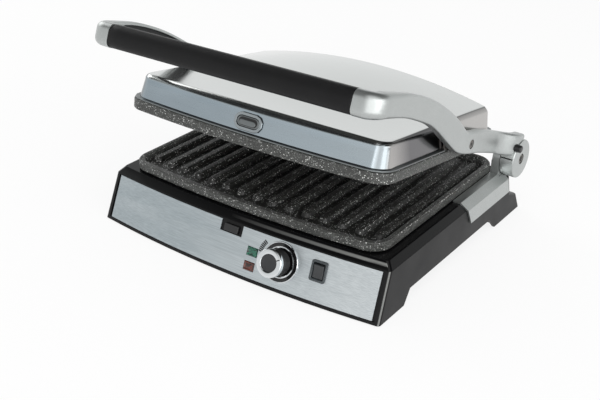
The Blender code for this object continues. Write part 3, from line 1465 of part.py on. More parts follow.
def add_controls(surfaces, base, frames):
    """Knob with its dish and thermostat, two lamps and the rocker switch."""
    knob = frames["knob"]
    panel_face = (PANEL_RECESS - SEAT_GAP) - PANEL_THICKNESS
    back = panel_face - SEAT_GAP - FACE_SAG
    shaft_hole = SHAFT_RADIUS + RUNNING_GAP
    dish = (
        (back, shaft_hole),
        (back, DISH_RADIUS),
        (back - DISH_HEIGHT + DISH_RIM / 2, DISH_RADIUS),
        (back - DISH_HEIGHT, DISH_RADIUS - DISH_RIM / 2),
        (back - DISH_HEIGHT, DISH_RADIUS - DISH_RIM),
        (back - DISH_FLOOR, KNOB_RING_RADIUS),
        (back - DISH_FLOOR, shaft_hole),
    )
    place("knob_dish", turned_ring("Y", (0, 0, 0), dish), surfaces["chrome"], knob, smooth=True)
    low = back - DISH_FLOOR - RUNNING_GAP
    high = low - KNOB_HEIGHT
    step = high + KNOB_RING_HEIGHT
    bore = SHAFT_RADIUS + SEAT_GAP
    body = (
        (low - SHAFT_IN_KNOB - SEAT_GAP, bore),
        (low, bore),
        (low, KNOB_RADIUS),
        (step, KNOB_RADIUS),
        (step, KNOB_FACE_RADIUS),
        (high + KNOB_RING_PROUD, KNOB_FACE_RADIUS),
    )
    place("knob", turned("Y", (0, 0, 0), body), surfaces["black"], knob, smooth=True)
    hole = KNOB_FACE_RADIUS + SEAT_GAP
    ring = (
        (step - SEAT_GAP, hole),
        (step - SEAT_GAP, KNOB_RING_RADIUS),
        (high + BEVEL, KNOB_RING_RADIUS),
        (high, KNOB_RING_RADIUS - BEVEL),
        (high, hole + BEVEL),
        (high + BEVEL, hole),
    )
    place("knob_ring", turned_ring("Y", (0, 0, 0), ring), surfaces["chrome"], knob, smooth=True)
    wall = PANEL_WALL + 2 * SEAT_GAP
    half = THERMOSTAT_WIDTH / 2
    shaft = rod("Y", (0, 0, 0), SHAFT_RADIUS, low - SHAFT_IN_KNOB, wall + THERMOSTAT_DEPTH / 2)
    place("thermostat_shaft", shaft, surfaces["steel"], knob, smooth=True)
    body = bevelled_box((-half, wall, -half), (half, wall + THERMOSTAT_DEPTH, half))
    thermostat = place("thermostat_body", body, surfaces["ceramic"], knob)
    cut(
        thermostat,
        rod("Y", (0, 0, 0), SHAFT_RADIUS + SEAT_GAP, 0, wall + THERMOSTAT_DEPTH / 2 + SEAT_GAP),
        "thermostat_bore",
    )
    half_x = LAMP_WIDTH / 2
    half_z = LAMP_HEIGHT / 2
    for name in ("lamp_green", "lamp_red"):
        frame = frames[name]
        lens = bevelled_box((-half_x, -LAMP_PROUD, -half_z), (half_x, LAMP_DEPTH, half_z), BEVEL / 2)
        place(name, lens, surfaces[name], frame)
    start = LAMP_DEPTH + SEAT_GAP
    middle = (LAMP_Z_GREEN - LAMP_Z_RED) / math.cos(FRONT_ANGLE)
    holder = bevelled_box(
        (-half_x, start, -half_z), (half_x, start + LAMP_HOLDER_DEPTH, middle + half_z), BEVEL / 2
    )
    place("lamp_holder", holder, surfaces["ceramic"], frames["lamp_red"])
    add_switch(surfaces, frames["switch"], panel_face)


def add_switch(surfaces, frame, panel_face):
    """Rocker switch: flanged body, and the rocker tilted to one side."""
    half_x = SWITCH_WIDTH / 2
    half_z = SWITCH_HEIGHT / 2
    seat = panel_face - SEAT_GAP - FACE_SAG
    body = bevelled_box((-half_x, seat - SWITCH_FLANGE_PROUD, -half_z), (half_x, seat, half_z), SEAT_GAP)
    switch = place("switch_body", body, surfaces["black"], frame)
    in_x = half_x - SWITCH_FLANGE
    in_z = half_z - SWITCH_FLANGE
    join(
        switch,
        box((-in_x, seat - SWITCH_FLANGE_PROUD / 2, -in_z), (in_x, seat + SWITCH_DEPTH, in_z)),
        "switch_barrel",
    )
    pocket_x = in_x - SWITCH_WALL
    pocket_z = in_z - SWITCH_WALL
    cut(
        switch,
        box(
            (-pocket_x, seat - SWITCH_FLANGE_PROUD - OVERRUN, -pocket_z),
            (pocket_x, seat + SWITCH_POCKET, pocket_z),
        ),
        "switch_pocket",
    )
    tilt = empty("rocker_axis", frame, Matrix.Translation((0, ROCKER_PIVOT_DEPTH, 0)) @ Matrix.Rotation(ROCKER_ANGLE, 4, "X"))
    reach = pocket_z - SEAT_GAP - RUNNING_GAP
    fall = reach * math.tan(ROCKER_ANGLE)
    face = -ROCKER_PIVOT_DEPTH + seat - SWITCH_FLANGE_PROUD / 2
    outline = (
        (face - fall, -reach),
        (face, 0),
        (face - fall, reach),
        (ROCKER_PIVOT_DEPTH / 2, reach),
        (ROCKER_PIVOT_DEPTH, 0),
        (ROCKER_PIVOT_DEPTH / 2, -reach),
    )
    half = pocket_x - SEAT_GAP
    place("rocker", prism_x(outline, -half, half), surfaces["rocker"], tilt)


def add_release(surface, spring_surface, base, frames, housing):
    """Release button of the lower plate, its catch and its spring."""
    frame = frames["release"]
    half_z = RELEASE_HEIGHT / 2
    body = bevelled_box(
        (-RELEASE_HALF_WIDTH, -RELEASE_PROUD, -half_z), (RELEASE_HALF_WIDTH, RELEASE_LENGTH, half_z), BEVEL / 2
    )
    place("plate_release_button", body, surface, frame)
    start = RELEASE_LENGTH + RELEASE_TRAVEL + RUNNING_GAP
    add_spring("release_spring", (0, start, 0), SPRING_LENGTH, spring_surface, frame)
    seat = start + SPRING_LENGTH + SEAT_GAP
    back = seat + SPRING_SEAT_THICKNESS
    climb = DECK_HEIGHT - PANEL_WALL / 2 - RELEASE_CENTRE_Z + back * math.sin(FRONT_ANGLE)
    bracket = box(
        (-RELEASE_HALF_WIDTH, seat, -half_z), (RELEASE_HALF_WIDTH, back, climb / math.cos(FRONT_ANGLE))
    )
    bracket.transform(frame.matrix_basis)
    join(housing, bracket, "release_spring_seat")


def add_gland(surface, housing, base):
    """Cord gland through the rear wall."""
    z_step = SHOULDER_HEIGHT - REAR_SHELF_TOP
    lean = math.atan2(REAR_WALL_LEAN, z_step)
    turn = Matrix.Translation((GLAND_X, base_rear(GLAND_Z), GLAND_Z)) @ Matrix.Rotation(lean, 4, "X")
    frame = empty("gland_frame", base, turn)
    inner = -PANEL_WALL - SEAT_GAP
    profile = (
        (GLAND_FLANGE + SEAT_GAP, GLAND_BORE),
        (GLAND_FLANGE + SEAT_GAP, GLAND_FLANGE_RADIUS - BEVEL),
        (SEAT_GAP, GLAND_FLANGE_RADIUS),
        (SEAT_GAP, GLAND_RADIUS),
        (inner, GLAND_RADIUS),
        (inner, GLAND_FLANGE_RADIUS),
        (inner - GLAND_FLANGE, GLAND_FLANGE_RADIUS),
        (inner - GLAND_FLANGE, GLAND_BORE),
    )
    place("cord_gland", turned_ring("Y", (0, 0, 0), profile, SMALL_ROUND_STEPS), surface, frame, smooth=True)
    hole = rod("Y", (0, 0, 0), GLAND_RADIUS + SEAT_GAP, inner - OVERRUN, OVERRUN)
    hole.transform(frame.matrix_basis)
    cut(housing, hole, "gland_hole")


def add_rear_clip(name, surface, parent, low, high):
    """Steel clip behind a plate's rear wall."""
    half = REAR_CLIP_WIDTH / 2
    front = PLATE_DEPTH + SEAT_GAP
    place(name, box((-half, front, low), (half, front + REAR_CLIP_THICKNESS, high)), surface, parent)


def make_surfaces():
    """Every material of the grill."""
    return {
        "gloss_black": material("gloss_black_plastic", (0.012, 0.012, 0.013), 0.25),
        "black": material("satin_black_plastic", (0.03, 0.03, 0.032), 0.45),
        "brushed": material("brushed_steel", (0.60, 0.62, 0.64), 0.38, 1.0),
        "polished": material("polished_steel", (0.72, 0.73, 0.74), 0.10, 1.0),
        "silver": material("silver_paint", (0.60, 0.61, 0.61), 0.40, 0.3),
        "stone": material("speckled_coating", (0.035, 0.035, 0.037), 0.55),
        "rubber": material("black_rubber", (0.02, 0.02, 0.02), 0.80),
        "grip": material("grip_rubber", (0.022, 0.022, 0.024), 0.60),
        "steel": material("plain_steel", (0.55, 0.55, 0.56), 0.35, 1.0),
        "sheet": material("aluminised_sheet", (0.62, 0.62, 0.60), 0.45, 1.0),
        "element": material("element_sheath", (0.10, 0.09, 0.09), 0.50, 0.8),
        "ceramic": material("ceramic", (0.75, 0.72, 0.66), 0.60),
        "brass": material("brass", (0.60, 0.45, 0.20), 0.35, 1.0),
        "chrome": material("chrome", (0.80, 0.80, 0.81), 0.08, 1.0),
        "lamp_green": material("green_lens", (0.01, 0.20, 0.12), 0.15),
        "lamp_red": material("red_lens", (0.35, 0.02, 0.02), 0.15),
        "rocker": material("grey_plastic", (0.09, 0.09, 0.10), 0.40),
    }


def add_base(surfaces, base):
    """Everything that stays still."""
    frames = {
        "knob": face_frame("knob_axis", KNOB_X, KNOB_Z, base),
        "lamp_green": face_frame("green_lamp_frame", LAMP_X, LAMP_Z_GREEN, base),
        "lamp_red": face_frame("red_lamp_frame", LAMP_X, LAMP_Z_RED, base),
        "switch": face_frame("switch_frame", SWITCH_X, SWITCH_Z, base),
        "release": face_frame("release_frame", RELEASE_X, RELEASE_CENTRE_Z, base),
    }
    housing = add_housing(surfaces["gloss_black"], base)
    add_floor(surfaces["black"], surfaces["steel"], surfaces["rubber"], base)
    add_front_panel(surfaces["brushed"], housing, base, frames)
    add_release(surfaces["black"], surfaces["steel"], base, frames, housing)
    add_gland(surfaces["rubber"], housing, base)
    add_controls(surfaces, base, frames)
    plate_datum = empty("lower_plate_datum", base, Matrix.Translation((0, PLATE_FRONT, 0)))
    flange = DECK_HEIGHT + SEAT_GAP + SHEET
    add_heater(
        "lower", plate_datum, flange, -1, surfaces["sheet"], surfaces["element"], surfaces["ceramic"]
    )
    flip = Matrix.Translation((0, 0, LOWER_RIM_Z)) @ Matrix.Diagonal((1, 1, -1, 1))
    lower_frame = empty("lower_plate_frame", plate_datum)
    lower = plate_shape(LOWER_PLATE_HEIGHT)
    ribs = rib_shapes()
    for shape in (lower, ribs):
        shape.transform(flip)
        bmesh.ops.reverse_faces(shape, faces=shape.faces)
    plate = place("lower_plate", lower, surfaces["stone"], lower_frame)
    join(plate, ribs, "lower_plate_ribs")
    low = DECK_HEIGHT + SEAT_GAP
    add_rear_clip("lower_plate_clip", surfaces["steel"], plate_datum, low, low + REAR_CLIP_HEIGHT)
    half = TERMINAL_WIDTH / 2
    block = bevelled_box(
        (TERMINAL_X - half, TERMINAL_Y - TERMINAL_DEPTH, FLOOR_TOP + SEAT_GAP),
        (TERMINAL_X + half, TERMINAL_Y, FLOOR_TOP + TERMINAL_HEIGHT),
    )
    place("terminal_block", block, surfaces["ceramic"], base)
    for side, sign in SIDES:
        add_tower("hinge_tower_" + side, sign, surfaces["silver"], base)


def add_arms(surfaces, arms):
    """Pins, arms, grip and what rides on them."""
    for side, sign in SIDES:
        add_hinge_pin("hinge_pin_" + side, sign, surfaces["steel"], arms)
    add_arm("arm_left", -1, surfaces["silver"], arms)
    arm_right = add_arm("arm_right", 1, surfaces["silver"], arms)
    add_lock(surfaces["black"], arm_right, arms)
    add_pivot_screws(surfaces["steel"], arms)
    add_grip(surfaces["grip"], surfaces["steel"], arms)


def add_lid(surfaces, lid_pivot, datum):
    """Bushes on the pivot, and the lid that slides on them."""
    add_bushes(surfaces["brass"], lid_pivot)
    add_plate("upper_plate", surfaces["stone"], datum, UPPER_PLATE_HEIGHT)
    latch = latch_frame(datum)
    add_lid_frame(surfaces["silver"], datum, latch)
    add_lugs(surfaces["steel"], datum)
    add_cover(surfaces["polished"], datum, latch)
    add_latch(surfaces["chrome"], surfaces["rocker"], surfaces["steel"], latch)
    flange = LID_FRAME_TOP + SEAT_GAP
    add_heater("upper", datum, flange, 1, surfaces["sheet"], surfaces["element"], surfaces["ceramic"])
    high = UPPER_PLATE_HEIGHT
    add_rear_clip("upper_plate_clip", surfaces["steel"], datum, high - REAR_CLIP_HEIGHT, high)
    fuse_z = flange + PAN_DEPTH + SHEET + SEAT_GAP + FUSE_RADIUS
    fuse = rod("X", (0, PLATE_DEPTH / 2, fuse_z), FUSE_RADIUS, -FUSE_LENGTH / 2, FUSE_LENGTH / 2)
    place("thermal_fuse", fuse, surfaces["brass"], datum, smooth=True)


def centre(base):
    """Move the grill until the middle of its box stands over the origin."""
    bpy.context.view_layer.update()
    evaluated = bpy.context.evaluated_depsgraph_get()
    points = []
    for built in bpy.data.objects:
        if built.type == "MESH" and not built.hide_render:
            mesh = built.evaluated_get(evaluated).to_mesh()
            points.extend(built.matrix_world @ vertex.co for vertex in mesh.vertices)
    for axis in range(2):
        places = [point[axis] for point in points]
        base.location[axis] -= (min(places) + max(places)) / 2
    bpy.context.view_layer.update()


def main():
    """Clear the scene and build the grill in its open pose."""
    for old in list(bpy.data.objects):
        bpy.data.objects.remove(old, do_unlink=True)
    surfaces = make_surfaces()
    base = empty("grill")
    add_base(surfaces, base)
    raised = Matrix.Rotation(-ARMS_RAISED, 4, "X")
    arms = empty("arms_axis", base, Matrix.Translation((0, HINGE_Y, HINGE_Z)) @ raised)
    add_arms(surfaces, arms)
    pivot = arms.matrix_basis @ Vector((0, -PIVOT_AHEAD, PIVOT_UP))
    tilt = Matrix.Rotation(-LID_RAISED, 4, "X")
    lid_pivot = empty("lid_pivot", base, Matrix.Translation(pivot) @ tilt)
    away = Matrix.Translation((0, -PIVOT_SETBACK - LID_FLOAT, -PIVOT_HEIGHT))
    datum = empty("lid_datum", lid_pivot, away)
    add_lid(surfaces, lid_pivot, datum)
    centre(base)


main()
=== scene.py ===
"""Looks of the contact grill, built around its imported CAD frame.

Metres, +Z up, the worktop at Z = 0, the front towards -Y. Each operator makes one piece or one group of
pieces where the CAD says, with the finish of the real one. Nothing is read but the frame.
"""

import json
import math

import bmesh
import bpy
from mathutils import Matrix, Vector
from mathutils.bvhtree import BVHTree


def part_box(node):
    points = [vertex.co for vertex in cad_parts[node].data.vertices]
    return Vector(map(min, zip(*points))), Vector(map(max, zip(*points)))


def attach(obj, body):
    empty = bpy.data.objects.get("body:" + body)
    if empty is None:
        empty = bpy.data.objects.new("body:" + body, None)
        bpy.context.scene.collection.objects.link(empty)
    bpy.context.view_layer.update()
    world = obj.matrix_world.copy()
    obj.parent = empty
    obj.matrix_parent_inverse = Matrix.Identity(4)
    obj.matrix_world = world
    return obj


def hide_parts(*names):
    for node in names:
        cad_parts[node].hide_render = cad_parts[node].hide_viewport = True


bl_info = {
    "name": "Contact grill",
    "version": (1, 0, 0),
    "blender": (4, 5, 0),
    "location": "View3D > Sidebar > Grill",
    "description": "Builds the finished pieces of a contact grill around its CAD frame",
    "category": "Object",
}

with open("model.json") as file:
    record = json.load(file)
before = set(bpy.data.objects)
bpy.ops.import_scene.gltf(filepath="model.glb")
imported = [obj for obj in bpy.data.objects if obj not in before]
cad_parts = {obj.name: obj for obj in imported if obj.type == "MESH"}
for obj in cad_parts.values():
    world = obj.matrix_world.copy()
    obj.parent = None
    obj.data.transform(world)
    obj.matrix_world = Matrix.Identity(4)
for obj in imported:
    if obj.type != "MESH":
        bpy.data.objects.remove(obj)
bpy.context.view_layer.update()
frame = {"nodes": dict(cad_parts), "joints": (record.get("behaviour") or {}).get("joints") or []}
JOINTS = {joint["name"]: joint for joint in frame["joints"]}
MM = 0.001
TINY = 1e-6  # stands for a radius of nothing where a ring may not shrink to a point

# Frames of the base, the lid and the arms as they stand in the photograph
HINGE = Vector(JOINTS["opening_hinge"]["pos_m"])
BASE_PLACE = HINGE - Vector((0, 0.250, 0.067))  # midway between the base's front corners, on the worktop
ARMS_RAISED = math.radians(21.0)
LID_TILT = math.radians(8.8)
PIVOT = sum(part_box("pivot_screw_left"), Vector()) / 2
PIVOT.x = HINGE.x
LID_BACK = 0.124756 + 0.0112  # from the plate's front corners to the pivot
PIVOT_UP = 0.0142  # from the plate's rim to the pivot
IN_ARMS = Matrix.Translation(HINGE) @ Matrix.Rotation(-ARMS_RAISED, 4, "X")
IN_LID = Matrix.Translation(PIVOT) @ Matrix.Rotation(-LID_TILT, 4, "X")
IN_LID = IN_LID @ Matrix.Translation((0, -LID_BACK, -PIVOT_UP))
# The latch sits in the cover's skirt and leans back with it
LATCH_LEAN = math.asin(-JOINTS["latch_press"]["axis"][2])
LATCH = Matrix.Translation((0.001, -0.10263, 0.13822)) @ Matrix.Rotation(-LATCH_LEAN, 4, "X")

# The bowed front face, and the spots on it where the controls sit
FACE_UP = Vector((0, 0.3982, 0.9173))  # up the slope of the face
FACE_BOW = 0.0103
FACE_HALF = 0.1616
KNOB_SPOT = Vector(JOINTS["knob_turn"]["pos_m"])
GREEN_SPOT = Vector((0.0238, -0.12801, 0.0264))
RED_SPOT = Vector((0.0238, -0.13339, 0.0140))
SWITCH_SPOT = Vector((0.0935, -0.12344, 0.0293))
DECK_FROM = 0.0457  # height where the glossy deck begins


# Mesh tools


def loft(rings, closed=False):
    """Skin rings of equal length; the ends are filled unless the run closes on itself."""
    bm = bmesh.new()
    rows = [[bm.verts.new(point) for point in ring] for ring in rings]
    count = len(rows[0])
    pairs = list(zip(rows, rows[1:]))
    if closed:
        pairs.append((rows[-1], rows[0]))
    for low, high in pairs:
        for index in range(count):
            after = (index + 1) % count
            bm.faces.new((low[index], low[after], high[after], high[index]))
    if not closed:
        bm.faces.new(rows[0][::-1])
        bm.faces.new(rows[-1])
    return bm


def lathe(profile, steps=72):
    """Turn (along, radius) points about Y; the run closes on itself where both ends have a radius."""
    turns = [math.tau * step / steps for step in range(steps)]
    rings = []
    for along, radius in profile:
        reach = max(radius, TINY)
        rings.append([Vector((reach * math.cos(turn), along, reach * math.sin(turn))) for turn in turns])
    return loft(rings, closed=profile[0][1] > 0 and profile[-1][1] > 0)


def rounded(width, height, radius, steps=8):
    """A rounded rectangle about zero, as (x, z) pairs."""
    radius = min(radius, width / 2 - TINY, height / 2 - TINY)
    points = []
    for across, up, start in ((1, -1, -90), (1, 1, 0), (-1, 1, 90), (-1, -1, 180)):
        for step in range(steps + 1):
            angle = math.radians(start + 90 * step / steps)
            x = across * (width / 2 - radius) + radius * math.cos(angle)
            points.append((x, up * (height / 2 - radius) + radius * math.sin(angle)))
    return points


def slab(sections, steps=8):
    """Rounded rectangles stacked along Y, from (width, height, radius, y) rows."""
    return loft([[Vector((x, y, z)) for x, z in rounded(w, h, r, steps)] for w, h, r, y in sections])


def fillet(start, end, steps):
    """Points of a quarter round from one (inset, z) point, which is left out, to the next."""
    points = []
    for step in range(1, steps + 1):
        angle = math.pi / 2 * step / steps
        inset = start[0] + (end[0] - start[0]) * (1 - math.cos(angle))
        points.append((inset, start[1] + (end[1] - start[1]) * math.sin(angle)))
    return points


def arc(steps):
    """Angles of a quarter turn, without its ends."""
    return [math.pi / 2 * step / steps for step in range(1, steps)]


def eased(value):
    """Ease from 0 to 1."""
    value = min(1.0, max(0.0, value))
    return value * value * (3 - 2 * value)


def bowed_ring(half, front, rear, bow, front_radius, rear_radius, z, steps=12, edge=40):
    """A rounded rectangle whose front edge swells forward by bow, as points at height z."""

    def front_edge(x):
        """Y of the swelling front edge."""
        return front - bow * (1 - (x / half) ** 2)

    def on_corner(x, y, radius, degrees):
        """A point on a corner's arc."""
        angle = math.radians(degrees)
        return Vector((x + radius * math.cos(angle), y + radius * math.sin(angle), z))

    reach = half - front_radius
    points = []
    for step in range(edge + 1):
        x = -reach + 2 * reach * step / edge
        points.append(Vector((x, front_edge(x), z)))
    lean = math.degrees(math.atan2(2 * bow * reach / half**2, 1))
    corners = (
        (reach, front_edge(reach) + front_radius, front_radius, -90 + lean, 0),
        (half - rear_radius, rear - rear_radius, rear_radius, 0, 90),
        (-half + rear_radius, rear - rear_radius, rear_radius, 90, 180),
        (-reach, front_edge(reach) + front_radius, front_radius, 180, 270 - lean),
    )
    # The front edge already holds the first point of the first corner and the last point of the last one
    for order, (x, y, radius, start, stop) in enumerate(corners):
        for step in range(0 if order else 1, steps + (0 if order == 3 else 1)):
            points.append(on_corner(x, y, radius, start + (stop - start) * step / steps))
        if order < 3:
            begin = points[-1].copy()
            end = on_corner(*corners[order + 1][:4])
            points += [begin.lerp(end, s / (edge // 2)) for s in range(1, edge // 2)]
    return points


def face_place(spot):
    """A frame on the bowed front face at a point: Y straight in, Z up the slope."""
    along = spot.x - BASE_PLACE.x
    x_axis = Vector((1, 2 * FACE_BOW * along / FACE_HALF**2, 0)).normalized()
    y_axis = FACE_UP.cross(x_axis).normalized()
    z_axis = x_axis.cross(y_axis)
    turn = Matrix((x_axis, y_axis, z_axis)).transposed().to_4x4()
    return Matrix.Translation(spot) @ turn


def node_span(node, place):
    """Lowest and highest corner of a CAD node as seen in a frame."""
    back = place.inverted()
    points = [back @ v.co for v in frame["nodes"][node].data.vertices]
    low = Vector(min(p[i] for p in points) for i in range(3))
    return low, Vector(max(p[i] for p in points) for i in range(3))


# Object tools


def made_object(name, bm):
    """A linked object with a bmesh's shape, which is used up."""
    mesh = bpy.data.meshes.new(name)
    bm.to_mesh(mesh)
    bm.free()
    made = bpy.data.objects.new(name, mesh)
    bpy.context.collection.objects.link(made)
    return made


def dropped(*helpers):
    """Remove helper objects and their meshes."""
    for helper in helpers:
        mesh = helper.data
        bpy.data.objects.remove(helper, do_unlink=True)
        bpy.data.meshes.remove(mesh)


def finished(mesh, angle):
    """Shade a mesh smooth, but for edges sharper than an angle in degrees."""
    mesh.shade_smooth()
    mesh.set_sharp_from_angle(angle=math.radians(angle))


def evaluated_mesh(built):
    """A plain mesh of what an object's modifiers make of it."""
    bpy.context.view_layer.update()
    evaluated = built.evaluated_get(bpy.context.evaluated_depsgraph_get())
    return bpy.data.meshes.new_from_object(evaluated)


def applied(built):
    """Make an object's modifiers part of its mesh."""
    mesh = evaluated_mesh(built)
    built.modifiers.clear()
    built.data = mesh


def piece(name, bm, surface, body, replaces=(), place=None, angle=35):
    """A finished piece that rides on a body, from a shape drawn in the frame place."""
    bmesh.ops.remove_doubles(bm, verts=bm.verts, dist=1e-7)
    if place is not None:
        bm.transform(place)
    bmesh.ops.recalc_face_normals(bm, faces=bm.faces)
    built = made_object(name, bm)
    finished(built.data, angle)
    built.data.materials.append(surface)
    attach(built, body)
    if replaces:
        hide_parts(*replaces)
    return built


def softened(node, surface, body, width, segments, angle=32):
    """A CAD node's shape with its edges broken by a small radius, as a finished piece."""
    bm = bmesh.new()
    bm.from_mesh(frame["nodes"][node].data)
    bmesh.ops.remove_doubles(bm, verts=bm.verts, dist=2e-6)
    bmesh.ops.dissolve_limit(bm, angle_limit=math.radians(0.6), verts=bm.verts, edges=bm.edges)
    built = made_object(f"{node}_finished", bm)
    built.data.materials.clear()
    built.data.materials.append(surface)
    bevel = built.modifiers.new("edges", "BEVEL")
    bevel.limit_method = "ANGLE"
    bevel.angle_limit = math.radians(angle)
    bevel.width = width
    bevel.segments = segments
    bevel.use_clamp_overlap = True
    bevel.miter_outer = "MITER_ARC"
    applied(built)
    finished(built.data, angle)
    weighted = built.modifiers.new("faces", "WEIGHTED_NORMAL")
    weighted.keep_sharp = True
    applied(built)
    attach(built, body)
    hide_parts(node)
    return built


def combined(target, operation, bm, place):
    """Fuse a closed shape to a finished piece (UNION) or take it away (DIFFERENCE)."""
    bm.transform(place)
    bmesh.ops.recalc_face_normals(bm, faces=bm.faces)
    other = made_object("other", bm)
    modifier = target.modifiers.new("combine", "BOOLEAN")
    modifier.operation = operation
    modifier.solver = "EXACT"
    modifier.object = other
    applied(target)
    dropped(other)


# Node tools. The kinds that are used most, with the order of their inputs:

NOISE = "ShaderNodeTexNoise"  # coordinates, scale in cycles per metre, detail, roughness
RANGE = "ShaderNodeMapRange"  # value, from low, from high, to low, to high
MATH = "ShaderNodeMath"  # first, second
MIX = "ShaderNodeMix"  # share, first, second
AXES = "ShaderNodeSeparateXYZ"
POINT = "ShaderNodeCombineXYZ"
SCALED = "ShaderNodeMapping"


def linear(hex_colour):
    """An sRGB hex colour as linear values, opaque."""
    channels = [int(hex_colour[i : i + 2], 16) / 255 for i in (1, 3, 5)]
    return tuple(c / 12.92 if c <= 0.04045 else ((c + 0.055) / 1.055) ** 2.4 for c in channels) + (1.0,)


def add_node(tree, kind, inputs=(), **settings):
    """Add a node with its settings, and its inputs by name or in the node's own order.

    An input is a value, a hex colour, a socket, or a node whose first output is linked.
    """
    made = tree.nodes.new(kind)
    for key, value in settings.items():
        setattr(made, key, value)
    if isinstance(inputs, dict):
        pairs = [(made.inputs[key], value) for key, value in inputs.items()]
    else:
        pairs = list(zip([socket for socket in made.inputs if socket.enabled], inputs))
    for socket, value in pairs:
        if isinstance(value, bpy.types.Node):
            value = next(output for output in value.outputs if output.enabled)
        if isinstance(value, bpy.types.NodeSocket):
            tree.links.new(value, socket)
        else:
            socket.default_value = linear(value) if isinstance(value, str) else value
    return made


def new_finish(name):
    """An empty material, its tree, and Object coordinates to draw its pattern on."""
    made = bpy.data.materials.new(name)
    made.use_nodes = True
    tree = made.node_tree
    tree.nodes.clear()
    return made, tree, add_node(tree, "ShaderNodeTexCoord").outputs["Object"]


def surfaced(tree, relief, depth, strength, **values):
    """End a finish: a Principled shader with its sockets, over relief of a depth in metres."""
    bump = add_node(tree, "ShaderNodeBump", {"Height": relief, "Distance": depth, "Strength": strength})
    sockets = {key.replace("_", " "): value for key, value in values.items()}
    shader = add_node(tree, "ShaderNodeBsdfPrincipled", {"Normal": bump, **sockets})
    add_node(tree, "ShaderNodeOutputMaterial", {"Surface": shader})


def tinted(tree, under, over, source, start, full, most=1):
    """A colour laid over another as a source goes from start to full, up to a share."""
    share = add_node(tree, RANGE, (source, start, full, 0, most))
    return add_node(tree, MIX, (share, under, over), data_type="RGBA")


def product(tree, masks):
    """Product of several ramps: each is a source with the values where it starts and where it is full."""
    total = None
    for source, start, full in masks:
        ramp = add_node(tree, RANGE, (source, start, full, 0, 1))
        total = ramp if total is None else add_node(tree, MATH, (total, ramp), operation="MULTIPLY")
    return total


# Finishes


def polished_stainless(colour, skirt):
    """Deep-drawn stainless sheet: its top is buffed to a mirror and the skirt that faces forward stays satin.
    The skirt's bluish tone, lighter towards the right end, is a painted reflection."""
    made, tree, where = new_finish("polished_stainless")
    lengthwise = add_node(tree, SCALED, {"Vector": where, "Scale": (9, 260, 260)})
    streak = add_node(tree, NOISE, (lengthwise, 3.0, 4.0, 0.6))
    patches = add_node(tree, SCALED, {"Vector": where, "Scale": (6, 22, 22)})
    cloud = add_node(tree, NOISE, (patches, 2.0, 3.0))
    spot = add_node(tree, AXES, (where,)).outputs
    facing = add_node(tree, AXES, (where.node.outputs["Normal"],)).outputs
    forward = add_node(tree, RANGE, (facing["Y"], -0.55, -0.93, 0, 1))
    aside = add_node(tree, MATH, (facing["X"],), operation="ABSOLUTE")
    # Painted reflection: the forward skirt is painted bluish and lighter towards the right end
    drawn = tinted(tree, skirt, "#B4BEC4", spot["X"], -0.06, 0.13)
    drawn = tinted(tree, drawn, "#A3AFB7", cloud, 0.3, 0.7, 0.6)
    top = add_node(tree, MIX, (streak, colour, "#DDDFDE"), data_type="RGBA")
    # Painted reflection: the cover's sides are painted darker than its top and darkest in their
    # middle, and the fold above them is painted dark all along
    flank_painted_reflection = tinted(tree, "#B2B0AE", "#727173", spot["Y"], -0.085, -0.055)
    flank_painted_reflection = tinted(tree, flank_painted_reflection, "#B8B6B4", spot["Y"], 0.0, 0.02)
    painted_fold_mask = product(tree, ((facing["Z"], 0.3, 0.5), (aside, 0.25, 0.45)))
    fold = add_node(tree, MIX, (painted_fold_mask, top, "#3C3C3D"), data_type="RGBA")
    sheet = tinted(tree, fold, flank_painted_reflection, aside, 0.4, 0.9)
    tone_with_painted_reflections = add_node(tree, MIX, (forward, sheet, drawn), data_type="RGBA")
    # Painted shade: the rounded front corners are painted darker to dim their highlight
    corner = product(tree, ((aside, 0.3, 0.5), (facing["Y"], -0.3, -0.5)))
    tone = add_node(tree, MIX, (corner, tone_with_painted_reflections, "#868C8F"), data_type="RGBA")
    clear = add_node(tree, RANGE, (streak, 0.3, 0.7, 0.12, 0.19))
    satin = add_node(tree, RANGE, (streak, 0.3, 0.7, 0.2, 0.3))
    rough = add_node(tree, MIX, (forward, clear, satin))
    ripple = add_node(tree, NOISE, (where, 16.0, 2.0))
    surfaced(tree, ripple, 0.0004, 0.08, Metallic=1.0, Base_Color=tone, Roughness=rough)
    return made


def brushed_stainless(colour):
    """Stainless sheet brushed along its length: fine streaks that spread the highlights upwards."""
    made, tree, where = new_finish("brushed_stainless")
    # Real grain is about 0.1 mm; drawn near 0.6 mm so that it shows
    lengthwise = add_node(tree, SCALED, {"Vector": where, "Scale": (7, 560, 560)})
    fine = add_node(tree, NOISE, (lengthwise, 3.0, 5.0, 0.7))
    patches = add_node(tree, SCALED, {"Vector": where, "Scale": (5, 40, 40)})
    broad = add_node(tree, NOISE, (patches, 2.0, 3.0))
    across = add_node(tree, AXES, (where,)).outputs["X"]
    # Painted reflection: the panel is painted lighter towards its right end
    tone = tinted(tree, colour, "#D2D7D9", across, -0.05, 0.13)
    tone = tinted(tree, tone, "#7F888D", fine, 0.36, 0.64, 0.42)
    tone = tinted(tree, tone, "#DDE2E4", broad, 0.4, 0.62, 0.16)
    rough = add_node(tree, RANGE, (fine, 0.25, 0.75, 0.3, 0.5))
    surfaced(tree, fine, 0.0001, 0.25, Metallic=1.0, Base_Color=tone, Roughness=rough)
    return made


def silver_lacquer(colour):
    """Die-cast metal under satin silver lacquer: soft highlights, a fine metal flake."""
    made, tree, where = new_finish("silver_lacquer")
    flake = add_node(tree, NOISE, (where, 2600.0, 2.0))
    cloud = add_node(tree, NOISE, (where, 55.0, 3.0))
    tone = tinted(tree, colour, "#C2C5C4", flake, 0.3, 0.7)
    rough = add_node(tree, RANGE, (cloud, 0.3, 0.7, 0.34, 0.42))
    coat = {"Coat_Weight": 0.2, "Coat_Roughness": 0.22}
    surfaced(tree, flake, 0.00004, 0.25, Metallic=0.92, Base_Color=tone, Roughness=rough, **coat)
    return made


